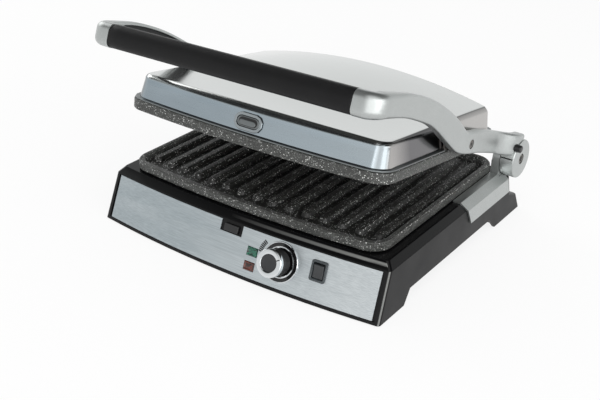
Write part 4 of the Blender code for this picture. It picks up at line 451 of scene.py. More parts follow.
def stone_coating(name, ground, clouded, specks):
    """Aluminium casting under sprayed stone-effect non-stick: matt, with specks of several sizes."""
    made, tree, where = new_finish(name)
    cloud = add_node(tree, NOISE, (where, 180.0, 4.0, 0.6))
    tone = tinted(tree, ground, clouded, cloud, 0.35, 0.65)
    # Real specks are 0.1 to 0.6 mm; the large ones are drawn up to 1.4 mm so that they show
    for cell, size, share, colour, cover in specks:
        scatter = {"Vector": where, "Scale": 1 / cell, "Randomness": 1.0}
        cells = add_node(tree, "ShaderNodeTexVoronoi", scatter).outputs
        chance = add_node(tree, "ShaderNodeSeparateColor", (cells["Color"],)).outputs["Red"]
        radius = add_node(tree, RANGE, (chance, 1 - share, 1.0, 0.08, size))
        chosen = add_node(tree, MATH, (chance, 1 - share), operation="GREATER_THAN")
        inside = add_node(tree, MATH, (cells["Distance"], radius), operation="LESS_THAN")
        seen = add_node(tree, MATH, (inside, chosen), operation="MULTIPLY")
        faded = add_node(tree, MATH, (seen, cover), operation="MULTIPLY")
        tone = add_node(tree, MIX, (faded, tone, colour), data_type="RGBA")
    rough = add_node(tree, RANGE, (cloud, 0.3, 0.7, 0.38, 0.55))
    grit = add_node(tree, NOISE, (where, 900.0, 4.0, 0.6))
    surfaced(tree, grit, 0.00025, 0.5, Base_Color=tone, Roughness=rough)
    return made


def housing_plastic(deck, side):
    """Moulded ABS: a high-gloss deck over satin, finely grained sides."""
    made, tree, where = new_finish("housing_plastic")
    spot = add_node(tree, AXES, (where,)).outputs
    facing = add_node(tree, AXES, (where.node.outputs["Normal"],)).outputs
    above = add_node(tree, RANGE, (spot["Z"], DECK_FROM - 0.0006, DECK_FROM + 0.0006, 0, 1))
    cloud = add_node(tree, NOISE, (where, 30.0, 3.0))
    satin = add_node(tree, RANGE, (cloud, 0.3, 0.7, 0.34, 0.44))
    gloss = add_node(tree, RANGE, (cloud, 0.3, 0.7, 0.1, 0.16))
    rough = add_node(tree, MIX, (above, satin, gloss))
    # Painted highlights: the chamfer in front of the deck and the one at the right corner are painted a
    # lighter grey
    slope = ((facing["Z"], 0.58, 0.64), (facing["Y"], -0.62, -0.68))
    painted_highlight_band = ((spot["Z"], 0.0478, 0.0484), (spot["Z"], 0.0504, 0.0498), (spot["X"], -0.01, 0.17))
    corner = ((facing["X"], 0.3, 0.42), (facing["Y"], -0.55, -0.65))
    tone = add_node(tree, MIX, (above, side, deck), data_type="RGBA")
    for masks, colour in ((slope + painted_highlight_band, "#80817F"), (corner, "#777876")):
        tone = add_node(tree, MIX, (product(tree, masks), tone, colour), data_type="RGBA")
    grain = add_node(tree, NOISE, (where, 1500.0, 3.0))
    relief = add_node(tree, MATH, (grain, 0.3), operation="MULTIPLY")
    shine = {"IOR": 1.46, "Specular_IOR_Level": 0.24}
    surfaced(tree, relief, 0.00006, 0.35, Base_Color=tone, Roughness=rough, **shine)
    return made


def moulded_plastic(name, colour, rough, grain=1400.0, shine=0.5):
    """Moulded plastic with a fine eroded grain, a little lighter in patches."""
    made, tree, where = new_finish(name)
    grains = add_node(tree, NOISE, (where, grain, 3.0))
    cloud = add_node(tree, NOISE, (where, 70.0, 2.0))
    lighter = "#" + "".join("%02X" % min(255, int(colour[i : i + 2], 16) + 7) for i in (1, 3, 5))
    tone = add_node(tree, MIX, (cloud, colour, lighter), data_type="RGBA")
    varied = add_node(tree, RANGE, (grains, 0.3, 0.7, rough - 0.05, rough + 0.05))
    shine = {"IOR": 1.5, "Specular_IOR_Level": shine}
    surfaced(tree, grains, 0.00006, 0.4, Base_Color=tone, Roughness=varied, **shine)
    return made


def metal(name, colour, rough, wear=0.06):
    """Plain, plated or turned metal: roughness varies where it is handled."""
    made, tree, where = new_finish(name)
    cloud = add_node(tree, NOISE, (where, 140.0, 4.0))
    fine = add_node(tree, NOISE, (where, 700.0, 2.0))
    handled = add_node(tree, RANGE, (cloud, 0.3, 0.7, rough, rough + wear))
    surfaced(tree, fine, 0.00003, 0.2, Metallic=1.0, Base_Color=colour, Roughness=handled)
    return made


def lens_plastic(name, colour, glow):
    """Tinted acrylic lens over moulded prisms, with painted highlights: each prism is lighter in its middle
    and dark at its edge.
    """
    made, tree, where = new_finish(name)
    prisms = add_node(tree, "ShaderNodeTexVoronoi", {"Vector": where, "Scale": 420.0}).outputs["Distance"]
    # Painted highlight: each prism is painted lighter in its middle
    tone = tinted(tree, glow, colour, prisms, 0.2, 0.8)
    surfaced(tree, prisms, 0.0006, 0.5, IOR=1.49, Roughness=0.12, Coat_Weight=0.5, Base_Color=tone)
    return made


# Specks of the coating: cell in metres, largest radius as a share of a cell, share of cells, colour, cover
SPECKS_BLACK = ((0.0011, 0.42, 0.6, "#555754", 0.7), (0.0015, 0.36, 0.7, "#C9CBC8", 0.85))
# Specks of the coating's lighter copy, which is painted as if lit
SPECKS_PAINTED_LIT = (
    (0.0014, 0.46, 0.7, "#151615", 0.8),
    (0.0011, 0.44, 0.7, "#868885", 0.7),
    (0.0016, 0.34, 0.7, "#DADCD9", 0.85),
)


class GrillLooks(bpy.types.PropertyGroup):
    """Colours and sizes that a user would change."""

    steel: bpy.props.StringProperty(
        name="Polished steel", description="Tone of the cover's top", default="#D0D2D1"
    )
    # The skirt's bluish tone is a painted reflection
    skirt: bpy.props.StringProperty(
        name="Cover skirt", description="Tone of the cover's front skirt", default="#8E9AA2"
    )
    fascia: bpy.props.StringProperty(
        name="Fascia", description="Tone of the brushed front panel", default="#B2BBBF"
    )
    silver: bpy.props.StringProperty(
        name="Arms", description="Silver lacquer of the arms and towers", default="#A2A6A5"
    )
    deck: bpy.props.StringProperty(name="Deck", description="Gloss black top of the base", default="#0B0B0C")
    side: bpy.props.StringProperty(name="Sides", description="Satin sides of the base", default="#101011")
    grip: bpy.props.StringProperty(name="Grip", description="Soft-touch grip", default="#0F0F10")
    rib_count: bpy.props.IntProperty(name="Ribs", description="Ribs on each plate", default=15, min=3, max=25)
    rib_pitch: bpy.props.FloatProperty(
        name="Rib pitch", description="From rib to rib", default=18.5 * MM, unit="LENGTH", precision=4
    )
    rib_width: bpy.props.FloatProperty(
        name="Rib width", description="Width at its root", default=10.5 * MM, unit="LENGTH", precision=4
    )
    tick_count: bpy.props.IntProperty(
        name="Heat marks", description="Marks beside the knob", default=7, min=0, max=12
    )
    crown: bpy.props.FloatProperty(
        name="Crown", description="Rise of the cover's top", default=16.5 * MM, unit="LENGTH", precision=4
    )
    knob_radius: bpy.props.FloatProperty(
        name="Knob radius", description="Radius of its skirt", default=11.8 * MM, unit="LENGTH", precision=4
    )


def looks():
    """The scene's settings."""
    return bpy.context.scene.grill_looks


FINISHES = {}


def finish(name):
    """A finish by name; all of them are made once."""
    if not FINISHES:
        made = looks()
        FINISHES.update(
            steel=polished_stainless(made.steel, made.skirt),
            fascia=brushed_stainless(made.fascia),
            silver=silver_lacquer(made.silver),
            stone=stone_coating("stone_coating_black", "#11110F", "#1B1B19", SPECKS_BLACK),
            # The same coating again, painted lighter as if lit, for the plates' outside walls
            stone_wall=stone_coating("stone_coating_grey", "#2F302E", "#40413F", SPECKS_PAINTED_LIT),
            housing=housing_plastic(made.deck, made.side),
            black=moulded_plastic("satin_abs_black", "#171718", 0.4),
            grey=moulded_plastic("satin_abs_grey", "#2C2D2F", 0.4, 1400.0, 0.35),
            gloss=moulded_plastic("gloss_abs_black", "#0B0B0C", 0.1, 300.0),
            rocker=moulded_plastic("gloss_abs_charcoal", "#2B2D2F", 0.22),
            bezel=moulded_plastic("satin_abs_slate", "#363B3E", 0.3),
            # Black print, also used for painted shadow and painted shade
            ink=moulded_plastic("printed_black", "#0D0D0E", 0.5),
            grip=moulded_plastic("soft_touch", made.grip, 0.5, 900.0, 0.2),
            rubber=moulded_plastic("moulded_rubber", "#101011", 0.75, 700.0),
            ceramic=moulded_plastic("glazed_steatite", "#D8D2C4", 0.35, 500.0),
            green=lens_plastic("green_lens", "#041F17", "#1F6E57"),
            red=lens_plastic("red_lens", "#1F0804", "#6A2A1A"),
            latch=metal("satin_die_casting", "#7C8081", 0.34),
            collar=metal("turned_collar", "#9AA0A3", 0.22),
            chrome=metal("chrome_plate", "#D7DADC", 0.05, 0.03),
            zinc=metal("zinc_plate", "#A9ABAD", 0.3),
            brass=metal("turned_brass", "#B89A5A", 0.25),
            alloy=metal("aluminised_sheet", "#AEB0B0", 0.35),
            sheath=metal("darkened_sheath", "#3C3836", 0.45),
            dark_plate=metal("dark_plated_steel", "#6E6A66", 0.3),
        )
    return FINISHES[name]


# Repeats by Geometry Nodes


def node_group(name, **sockets):
    """An empty geometry tree with a geometry output and named inputs."""
    tree = bpy.data.node_groups.new(name, "GeometryNodeTree")
    tree.interface.new_socket("Geometry", in_out="OUTPUT", socket_type="NodeSocketGeometry")
    for label, kind in sockets.items():
        tree.interface.new_socket(label.replace("_", " "), in_out="INPUT", socket_type=f"NodeSocket{kind}")
    return tree, add_node(tree, "NodeGroupInput").outputs


def copies_at(tree, points, form, surface, **turned):
    """End a tree with copies of a form at points, made real and given a finish."""
    shape = add_node(tree, "GeometryNodeObjectInfo", {"Object": form}).outputs["Geometry"]
    copies = add_node(tree, "GeometryNodeInstanceOnPoints", {"Points": points, "Instance": shape, **turned})
    real = add_node(tree, "GeometryNodeRealizeInstances", {"Geometry": copies})
    coated = add_node(tree, "GeometryNodeSetMaterial", {"Geometry": real, "Material": finish(surface)})
    add_node(tree, "NodeGroupOutput", {"Geometry": coated})


def grown(tree, values):
    """The mesh that a geometry tree makes, as a bmesh, with the tree's inputs set by identifier."""
    holder = made_object(tree.name, bmesh.new())
    modifier = holder.modifiers.new("grow", "NODES")
    modifier.node_group = tree
    for item in tree.interface.items_tree:
        if item.in_out == "INPUT" and item.name in values:
            modifier[item.identifier] = values[item.name]
    mesh = evaluated_mesh(holder)
    bm = bmesh.new()
    bm.from_mesh(mesh)
    bpy.data.meshes.remove(mesh)
    dropped(holder)
    return bm


def repeated_marks(mark, count, radius, spread):
    """Copies of a mark on an arc in the XZ plane, each turned to point at its centre."""
    tree, given = node_group("marks_on_an_arc", Count="Int", Radius="Float", Form="Object")
    line = add_node(tree, "GeometryNodeMeshLine", {"Count": given["Count"]})
    index = add_node(tree, "GeometryNodeInputIndex")
    last = add_node(tree, MATH, (given["Count"], 1.0), operation="SUBTRACT")
    share = add_node(tree, MATH, (index, last), operation="DIVIDE")
    turn = add_node(tree, RANGE, (share, 0, 1, *spread))
    spot = {}
    for axis, kind in (("X", "COSINE"), ("Z", "SINE")):
        reach = add_node(tree, MATH, (turn,), operation=kind)
        spot[axis] = add_node(tree, MATH, (reach, given["Radius"]), operation="MULTIPLY")
    placed = {"Geometry": line, "Position": add_node(tree, POINT, spot)}
    points = add_node(tree, "GeometryNodeSetPosition", placed)
    # A mark stands along Z, so it turns back from the arc's angle by a right angle
    lean = add_node(tree, MATH, (math.pi / 2, turn), operation="SUBTRACT")
    copies_at(tree, points, given["Form"], "ink", Rotation=add_node(tree, POINT, {"Y": lean}))
    form = made_object("mark_form", mark)
    marks = grown(tree, {"Count": count, "Radius": radius, "Form": form})
    dropped(form)
    return marks


def repeated_at(bm, spots, surface):
    """Copies of a form at points, by a geometry tree."""
    points = bmesh.new()
    for spot in spots:
        points.verts.new(spot)
    tree, given = node_group("form_at_points", Form="Object", Spots="Object")
    where = add_node(tree, "GeometryNodeObjectInfo", {"Object": given["Spots"]}).outputs["Geometry"]
    copies_at(tree, where, given["Form"], surface)
    form = made_object("repeat_form", bm)
    holder = made_object("spots", points)
    repeats = grown(tree, {"Form": form, "Spots": holder})
    dropped(form, holder)
    return repeats


def rib_tree():
    """Ribs in a row across a plate; each is as long as the swell of the plate's front lets it be."""
    sizes = ("Pitch", "Half_width", "Swell", "Form_length", "Front", "Rear")
    tree, given = node_group("ribs", Form="Object", Count="Int", **{size: "Float" for size in sizes})
    line = add_node(tree, "GeometryNodeMeshLine", {"Count": given["Count"]})
    index = add_node(tree, "GeometryNodeInputIndex")
    gaps = add_node(tree, MATH, (given["Count"], 1.0), operation="SUBTRACT")
    middle = add_node(tree, MATH, (gaps, 0.5), operation="MULTIPLY")
    steps = add_node(tree, MATH, (index, middle), operation="SUBTRACT")
    x = add_node(tree, MATH, (steps, given["Pitch"]), operation="MULTIPLY")
    # The front swells by a parabola that ends at the plate's sides
    share = add_node(tree, MATH, (x, given["Half width"]), operation="DIVIDE")
    square = add_node(tree, MATH, (share, share), operation="MULTIPLY")
    left = add_node(tree, MATH, (1.0, square), operation="SUBTRACT")
    swell = add_node(tree, MATH, (given["Swell"], left), operation="MULTIPLY")
    front = add_node(tree, MATH, (given["Front"], swell), operation="SUBTRACT")
    length = add_node(tree, MATH, (given["Rear"], front), operation="SUBTRACT")
    ends = add_node(tree, MATH, (given["Rear"], front), operation="ADD")
    y = add_node(tree, MATH, (ends, 0.5), operation="MULTIPLY")
    placed = {"Geometry": line, "Position": add_node(tree, POINT, {"X": x, "Y": y})}
    points = add_node(tree, "GeometryNodeSetPosition", placed)
    stretch = add_node(tree, MATH, (length, given["Form length"]), operation="DIVIDE")
    scale = add_node(tree, POINT, {"X": 1.0, "Y": stretch, "Z": 1.0})
    copies_at(tree, points, given["Form"], "stone", Scale=scale)
    return tree


def laid_on(bm, node, place, lift):
    """Lay a flat shape on the front of a CAD node, seen in a frame, a little proud of it."""
    back = place.inverted()
    mesh = frame["nodes"][node].data
    corners = [back @ v.co for v in mesh.vertices]
    surface = BVHTree.FromPolygons(corners, [tuple(p.vertices) for p in mesh.polygons])
    for vert in bm.verts:
        hit = surface.ray_cast(Vector((vert.co.x, -0.02, vert.co.z)), Vector((0, 1, 0)))[0]
        if hit is not None:
            vert.co.y += hit.y - lift
    return bm


# Base


class GRILL_OT_base(bpy.types.Operator):
    """Housing, floor, towers, gland and the small pieces of the base"""

    bl_idname = "grill.base"
    bl_label = "Base"

    def execute(self, context):
        softened("base_housing", finish("housing"), "base", 0.0009, 3, 30)
        softened("base_floor", finish("black"), "base", 0.0003, 1)
        for side in ("left", "right"):
            softened(f"hinge_tower_{side}", finish("silver"), "base", 0.0005, 3)
        softened("cord_gland", finish("rubber"), "base", 0.0004, 2)
        softened("plate_release_button", finish("black"), "release_button", 0.0006, 3)
        return {"FINISHED"}


MARK_WIDTH, MARK_LENGTH, MARK_DEPTH = 0.00125, 0.0042, 0.00005
MARK_LIFT = 0.00003  # how far the print stands off the panel
MARK_RADIUS = 0.0229  # from the knob's axis to the middle of a mark
MARK_SPREAD = (math.radians(144), math.radians(170))


class GRILL_OT_fascia(bpy.types.Operator):
    """Brushed front panel and the heat marks printed beside the knob"""

    bl_idname = "grill.fascia"
    bl_label = "Front panel"

    def execute(self, context):
        softened("front_panel", finish("fascia"), "base", 0.0002, 2, 40)
        knob = face_place(KNOB_SPOT)
        mark = slab([(MARK_WIDTH, MARK_LENGTH, 0.0001, y) for y in (0.0, -MARK_DEPTH)], 2)
        marks = repeated_marks(mark, looks().tick_count, MARK_RADIUS, MARK_SPREAD)
        strokes = laid_on(marks, "front_panel", knob, MARK_LIFT)
        piece("heat_marks", strokes, finish("ink"), "base", place=knob)
        return {"FINISHED"}


# Controls

DISH_LIP = 0.0024  # how far the finished rim reaches past the pressed dish
RIM_WIDTH = 0.0012
KNOB_BORE = 0.0031
POINTER_TURN = math.radians(60)


def turned(along, radius, offsets):
    """A turned profile from its offsets to one (along, radius) point."""
    return [(along + out, radius + wide) for out, wide in offsets]


class GRILL_OT_knob(bpy.types.Operator):
    """Thermostat knob with its chrome ring, in a chrome dish"""

    bl_idname = "grill.knob"
    bl_label = "Thermostat knob"

    def execute(self, context):
        place = face_place(KNOB_SPOT)
        self.dish(place)
        self.knob(place, looks().knob_radius)
        return {"FINISHED"}

    def dish(self, place):
        """The chrome rim, the dark well inside it, and the thin ring on the well's floor."""
        _, high = node_span("knob_dish", place)
        rim = high.x + DISH_LIP
        face = high.y + 0.0003
        dish = ((0, 0), (-0.0009, 0), (-0.0012, -0.0003), (-0.0012, -0.0008), (-0.0009, -0.0011))
        dish = turned(face, rim, dish + ((-0.0006, -RIM_WIDTH), (0, -RIM_WIDTH)))
        piece("knob_dish_finished", lathe(dish, 96), finish("chrome"), "base", ["knob_dish"], place)
        well = turned(face, rim, ((0, -RIM_WIDTH), (-0.0007, -RIM_WIDTH), (-0.0002, -0.0042)))
        well += [(face - 0.0002, 0.0036), (face + 0.0002, 0.0036), (face + 0.0002, rim - 0.0042)]
        piece("knob_well", lathe(well, 96), finish("gloss"), "base", (), place)
        ring = ((-0.0002, 0.0146), (-0.0007, 0.0143), (-0.0008, 0.0136), (-0.0002, 0.0130))
        ring = turned(face, 0, ring)
        piece("knob_well_ring", lathe(ring, 96), finish("chrome"), "base", (), place)

    def knob(self, place, radius):
        """The skirt, the chrome ring round its front, the grey face and the pointer."""
        low, high = node_span("knob", place)
        back, top = high.y, low.y
        body = [(top + 0.0008, 0.0), (top + 0.0008, radius - 0.0010), (top + 0.0050, radius - 0.0010)]
        body += [(top + 0.0058, radius - 0.0008), (top + 0.0062, radius - 0.0002), (back - 0.0004, radius)]
        body += [(back, radius - 0.0004), (back, KNOB_BORE), (back - 0.0089, KNOB_BORE), (back - 0.0089, 0.0)]
        piece("knob_finished", lathe(body), finish("black"), "knob", ["knob"], place, 30)
        low, high = node_span("knob_ring", place)
        outer, front = high.x, low.y
        round_edge = 0.0012
        ring = [(high.y, radius - 0.0006), (high.y, outer - 0.0003), (high.y - 0.0004, outer)]
        ring += [(front + round_edge, outer)]
        middle = (front + round_edge, outer - round_edge)
        for angle in arc(5):
            sine, cosine = round_edge * math.sin(angle), round_edge * math.cos(angle)
            ring.append((middle[0] - sine, middle[1] + cosine))
        ring += turned(front, 0, ((0, 0.0088), (0.0003, 0.0082), (0.0016, 0.0080), (0.0019, 0.0080)))
        ring += [(front + 0.0019, radius - 0.0009)]
        piece("knob_ring_finished", lathe(ring), finish("chrome"), "knob", ["knob_ring"], place, 30)
        face = ((0.0018, 0), (0.0018, 0.0079), (0.0008, 0.0079), (0.0006, 0.0076), (0.0010, 0.0060))
        face = lathe(turned(front, 0, face + ((0.0012, 0),)))
        piece("knob_face", face, finish("grey"), "knob", (), place, 40)
        pointer = slab([(0.0009, 0.0042, 0.0003, y) for y in (0.0, 0.0003)], 3)
        pointer.transform(Matrix.Translation((0, front - 0.00005, outer - 0.0029)))
        pointer.transform(Matrix.Rotation(POINTER_TURN, 4, "Y"))
        piece("knob_pointer", pointer, finish("ink"), "knob", (), place)


def node_face(node, place):
    """A frame in the middle of a CAD node, with the node's width, height and its front and back along Y."""
    low, high = node_span(node, place)
    middle = Matrix.Translation(((low.x + high.x) / 2, 0, (low.z + high.z) / 2))
    return place @ middle, high.x - low.x, high.z - low.z, low.y, high.y


class GRILL_OT_lamps(bpy.types.Operator):
    """Green and red lamp lenses"""

    bl_idname = "grill.lamps"
    bl_label = "Lamps"

    def execute(self, context):
        for colour, spot in (("green", GREEN_SPOT), ("red", RED_SPOT)):
            node = f"lamp_{colour}"
            place, wide, tall, front, back = node_face(node, face_place(spot))
            # From the seat out to the rim, and into the dished middle
            lens = [(wide, tall, 0.0008, back), (wide, tall, 0.0008, front + 0.0004)]
            lens += [(wide - 0.0004, tall - 0.0004, 0.0008, front + 0.0001)]
            lens += [(wide - less, tall - less, 0.0006, front) for less in (0.0014, 0.0020)]
            lens += [(wide - 0.0034, tall - 0.0030, 0.0004, front + 0.0005)]
            lens += [(wide * 0.3, tall * 0.24, 0.0002, front + 0.0002)]
            shape = slab(lens, 4)
            piece(f"{node}_finished", shape, finish(colour), "base", [node], place, 25)
        return {"FINISHED"}


class GRILL_OT_switch(bpy.types.Operator):
    """Rocker switch with a rounded frame"""

    bl_idname = "grill.switch"
    bl_label = "Rocker switch"

    def execute(self, context):
        face = face_place(SWITCH_SPOT)
        place, wide, tall, front, _ = node_face("switch_body", face)
        _, key_wide, key_tall, _, _ = node_face("rocker", face)
        gap = 0.0008
        # Rows of (smaller by, corner radius, y) outside, and of (larger by, corner radius, y) inside
        outside = ((0, 0.0021, 0.0030), (0, 0.0021, front + 0.0005), (0.0003, 0.0021, front + 0.0001))
        outside += ((0.0010, 0.0018, front),)
        inside = ((0.0014, 0.0012, front), (0.0004, 0.0008, front + 0.0005), (0, 0.0008, front + 0.0012))
        inside += ((0, 0.0008, 0.0028),)
        rows = [(wide - less, tall - less, radius, y) for less, radius, y in outside]
        rows += [(key_wide + gap + more, key_tall + gap + more, radius, y) for more, radius, y in inside]
        piece("switch_frame", slab(rows, 6), finish("bezel"), "base", ["switch_body"], place)
        softened("rocker", finish("rocker"), "rocker", 0.0009, 4, 20)
        return {"FINISHED"}


class GRILL_OT_latch(bpy.types.Operator):
    """Latch of the upper plate: bright bezel, button with a raised pad"""

    bl_idname = "grill.latch"
    bl_label = "Plate latch"

    def execute(self, context):
        softened("latch_bezel", finish("collar"), "lid", 0.0005, 3, 30)
        softened("latch_button", finish("latch"), "latch_button", 0.0005, 3, 30)
        front = node_span("latch_button", LATCH)[0].y
        # Painted shadow: a thin black sheet round the pad stands for the crescent of shadow round it
        well = slab([(0.0205, 0.0076, 0.0038, front + y) for y in (0.0002, -0.00005)])
        piece("latch_well", well, finish("ink"), "latch_button", (), LATCH)
        pad = [(0.0180, 0.0050, 0.0025, front + 0.0001), (0.0180, 0.0050, 0.0025, front - 0.0002)]
        pad += [(0.0176, 0.0046, 0.0023, front - 0.00037), (0.0166, 0.0036, 0.0018, front - 0.0004)]
        lowered = LATCH @ Matrix.Translation((-0.0004, 0, -0.0009))
        piece("latch_pad", slab(pad), finish("latch"), "latch_button", (), lowered, 50)
        return {"FINISHED"}


# Plates, in a frame with the front corners at Y = 0, the rim at Z = 0 and the pocket's floor above it

PLATE_HALF = 0.145
PLATE_DEPTH = 0.220
PLATE_SWELL = 0.008  # how far the front edge bows forward
PLATE_CORNER = 0.020
PLATE_RIM = 0.0055
POCKET = 0.0056  # depth of the pocket's floor under the rim
RIB_TOP = 0.0014
RIB_TOP_WIDTH = 0.0062
RIB_LENGTH = 0.1915
RIB_FRONT = 0.0190
RIB_REAR = PLATE_DEPTH - 0.0165
LOWER_PLATE = Vector((0, 0.02565, 0.0612))  # where the lower plate's frame is from BASE_PLACE


def plate_ring(inset, z):
    """A cooking plate's outline moved in by inset."""
    radius = PLATE_CORNER - inset
    rear = PLATE_DEPTH - inset
    return bowed_ring(PLATE_HALF - inset, inset, rear, PLATE_SWELL, radius, radius, z)


def rib_form(width):
    """One rib along Y with round ends and a rounded crest, before it is stretched to its length."""
    rows = ((width, POCKET), (width - 0.0012, POCKET - 0.0008), (RIB_TOP_WIDTH + 0.0016, RIB_TOP + 0.0012))
    rows += ((RIB_TOP_WIDTH + 0.0004, RIB_TOP + 0.0004), (RIB_TOP_WIDTH - 0.0008, RIB_TOP))
    rows += ((RIB_TOP_WIDTH - 0.0030, RIB_TOP),)
    rings = []
    for wide, z in rows:
        outline = rounded(wide, RIB_LENGTH - (width - wide), wide / 2, 6)
        rings.append([Vector((x, y, z)) for x, y in outline])
    return loft(rings)


class GRILL_OT_plates(bpy.types.Operator):
    """Both cooking plates: a speckled casting with a pocket, and its ribs"""

    bl_idname = "grill.plates"
    bl_label = "Cooking plates"

    def execute(self, context):
        tree = rib_tree()
        form = made_object("rib_form", rib_form(looks().rib_width))
        values = {"Form": form, "Count": looks().rib_count, "Pitch": looks().rib_pitch}
        values.update({"Half width": PLATE_HALF, "Swell": PLATE_SWELL, "Form length": RIB_LENGTH})
        values.update({"Front": RIB_FRONT, "Rear": RIB_REAR})
        upside_down = Matrix.Scale(-1, 4, (0, 0, 1))
        lower = Matrix.Translation(BASE_PLACE + LOWER_PLATE) @ upside_down
        for name, place, height in (("lower_plate", lower, 0.0083), ("upper_plate", IN_LID, 0.010)):
            # From the pocket's floor up its wall, over the rim, and down the outside to the back
            wall = [(PLATE_RIM + 0.0022, POCKET), (PLATE_RIM + 0.0006, 0.0012), (PLATE_RIM + 0.0002, 0.0004)]
            wall += [(0.0052, 0.0), (0.0010, 0.0)]
            wall += fillet((0.0010, 0.0), (0.0, 0.0011), 4)
            wall += [(0.0, height - 0.0010)]
            wall += fillet((0.0, height - 0.0010), (0.0010, height), 3)
            shape = loft([plate_ring(inset, z) for inset, z in wall])
            # The outside of the casting takes the coating's painted lit copy, lighter than in the pocket
            surface = finish("stone_wall")
            built = piece(f"{name}_casting", shape, surface, name, [name], place, 40)
            self.coat_pocket(built, place)
            ribs = grown(tree, values)
            piece(f"{name}_ribs", ribs, finish("stone"), name, (), place, 50)
        dropped(form)
        return {"FINISHED"}

    def coat_pocket(self, built, place):
        """The pocket's floor and walls take the dark tone of the coating; the outside keeps a lighter copy of
        it, a painted lit tone.
        """
        built.data.materials.append(finish("stone"))
        back = place.inverted()
        out = place.to_3x3() @ Vector((0, 0, -1))
        for face in built.data.polygons:
            spot = back @ face.center
            over_pocket = abs(spot.x) < PLATE_HALF - 0.0050 and spot.y > -0.0020
            below_rim = 0.0001 < spot.z < POCKET + 0.0001
            on_floor = abs(spot.z - POCKET) < 0.0002
            if over_pocket and below_rim and (on_floor or out.dot(face.normal) > 0.02):
                face.material_index = 1


# Cover

COVER_HALF = PLATE_HALF - 0.0044
COVER_REAR = PLATE_DEPTH - 0.0115
SKIRT_HEIGHT = 0.0165
SKIRT_LEAN = 0.0024
SKIRT_FRONT_LEAN = 0.0021
COVER_FOLD = 0.0046
COVER_SHEET = 0.0012
COVER_MIDDLE = Vector((0, 0.110, 0))
# Rings of the top, as shares of the way from its middle to the fold
TOP_SHARES = (0.985, 0.965, 0.94, 0.9, 0.85, 0.78, 0.7, 0.6, 0.5, 0.4, 0.3, 0.2, 0.1, 0.03)


def cover_ring(inset, front_extra, z):
    """The cover's outline, moved in by inset, and at the front by front_extra more."""
    front, rear = 0.0050 + inset + front_extra, COVER_REAR - inset
    corners = (max(0.017 - inset, 0.0046), max(0.009 - inset, 0.0023))
    return bowed_ring(COVER_HALF - inset, front, rear, PLATE_SWELL, *corners, z, 14, 48)


def crown(point, edge_height):
    """Height of the crowned top over a point."""
    across = 1 - (point.x / COVER_HALF) ** 2
    share = 0.12 + 0.88 * eased(point.y / PLATE_DEPTH * 1.15)
    return edge_height + looks().crown * share * max(0.0, across)


def cover_skin(inset, bottom):
    """Rings of the cover's skin from its open bottom to the middle of its top."""
    top = bottom + SKIRT_HEIGHT
    rings = [cover_ring(inset, 0, bottom)]
    # The skirt leans inwards as it rises
    for step in range(1, 5):
        share = step / 4
        z = bottom + (top - inset - bottom) * share
        rings.append(cover_ring(inset + SKIRT_LEAN * share, SKIRT_FRONT_LEAN * share, z))
    # The fold turns from the skirt to the top
    for step in range(1, 11):
        angle = math.radians(90 * step / 10)
        moved = COVER_FOLD * (1 - math.cos(angle))
        height = top - inset + COVER_FOLD * math.sin(angle)
        ring = cover_ring(inset + SKIRT_LEAN + moved, SKIRT_FRONT_LEAN, height)
        share = eased((step - 4) / 6)
        rings.append([Vector((p.x, p.y, height + (crown(p, height) - height) * share)) for p in ring])
    # The crowned top, in rings that shrink to its middle
    height = top - inset + COVER_FOLD
    flat_edge = [Vector((p.x, p.y, 0)) for p in rings[-1]]
    for share in TOP_SHARES:
        ring = [COVER_MIDDLE.lerp(point, share) for point in flat_edge]
        rings.append([Vector((p.x, p.y, crown(p, height))) for p in ring])
    return rings


class GRILL_OT_cover(bpy.types.Operator):
    """Polished cover of the lid, its frame and the lugs it hangs on"""

    bl_idname = "grill.cover"
    bl_label = "Cover"

    def execute(self, context):
        bottom = node_span("top_cover", IN_LID)[0].z
        shell = loft(cover_skin(COVER_SHEET, bottom)[::-1] + cover_skin(0, bottom))
        cover = piece("cover_finished", shell, finish("steel"), "lid", ["top_cover"], IN_LID, 50)
        combined(cover, "DIFFERENCE", slab([(0.0286, 0.0133, 0.00665, y) for y in (-0.004, 0.004)]), LATCH)
        finished(cover.data, 50)
        softened("lid_frame", finish("latch"), "lid", 0.0003, 2)
        for side in ("left", "right"):
            softened(f"lid_lug_{side}", finish("dark_plate"), "lid", 0.0003, 2)
        return {"FINISHED"}


# Arms, in a frame at the hinge axis with the arms level. Profiles are (ahead of the hinge, height) points

ARM_TOP = (
    (0.000, 0.0228), (0.036, 0.0228), (0.076, 0.0230), (0.098, 0.0206), (0.111, 0.0196), (0.118, 0.0222),
    (0.132, 0.0280), (0.151, 0.0345), (0.170, 0.0392), (0.192, 0.0434), (0.215, 0.0458), (0.236, 0.0462),
    (0.256, 0.0448), (0.276, 0.0430), (0.288, 0.0424),
)
ARM_BOTTOM = (
    (0.000, 0.0010), (0.044, 0.0010), (0.076, 0.0008), (0.098, -0.0008), (0.115, -0.0010), (0.127, 0.0007),
    (0.140, 0.0050), (0.156, 0.0108), (0.173, 0.0170), (0.192, 0.0222), (0.221, 0.0252), (0.240, 0.0260),
    (0.262, 0.0242), (0.288, 0.0204),
)
ARM_INNER = 0.1462
ARM_OUTER = 0.1552
ARM_THICK = 0.009
ARM_REACH = 0.288
ARM_CORNER = 0.017
ARM_END = 0.0175  # thickness where the arm meets the grip
ARM_EDGE, ARM_EDGE_GROWS = 0.0030, 0.0036
FLARE_FROM, FLARE_TO = 0.040, 0.013  # where the arm widens into its boss, from ahead back to the hinge
TAPER_FROM = 0.235
BOSS_INNER = 0.1546
BOSS_OUTER = 0.1685
BOSS_RADIUS = 0.0195
BOSS_EDGE = 0.0012
GRIP_HALF = 0.130
HOLLOW_FROM, HOLLOW_TO = 0.150, 0.264
HOLLOW_WALL = 0.0026
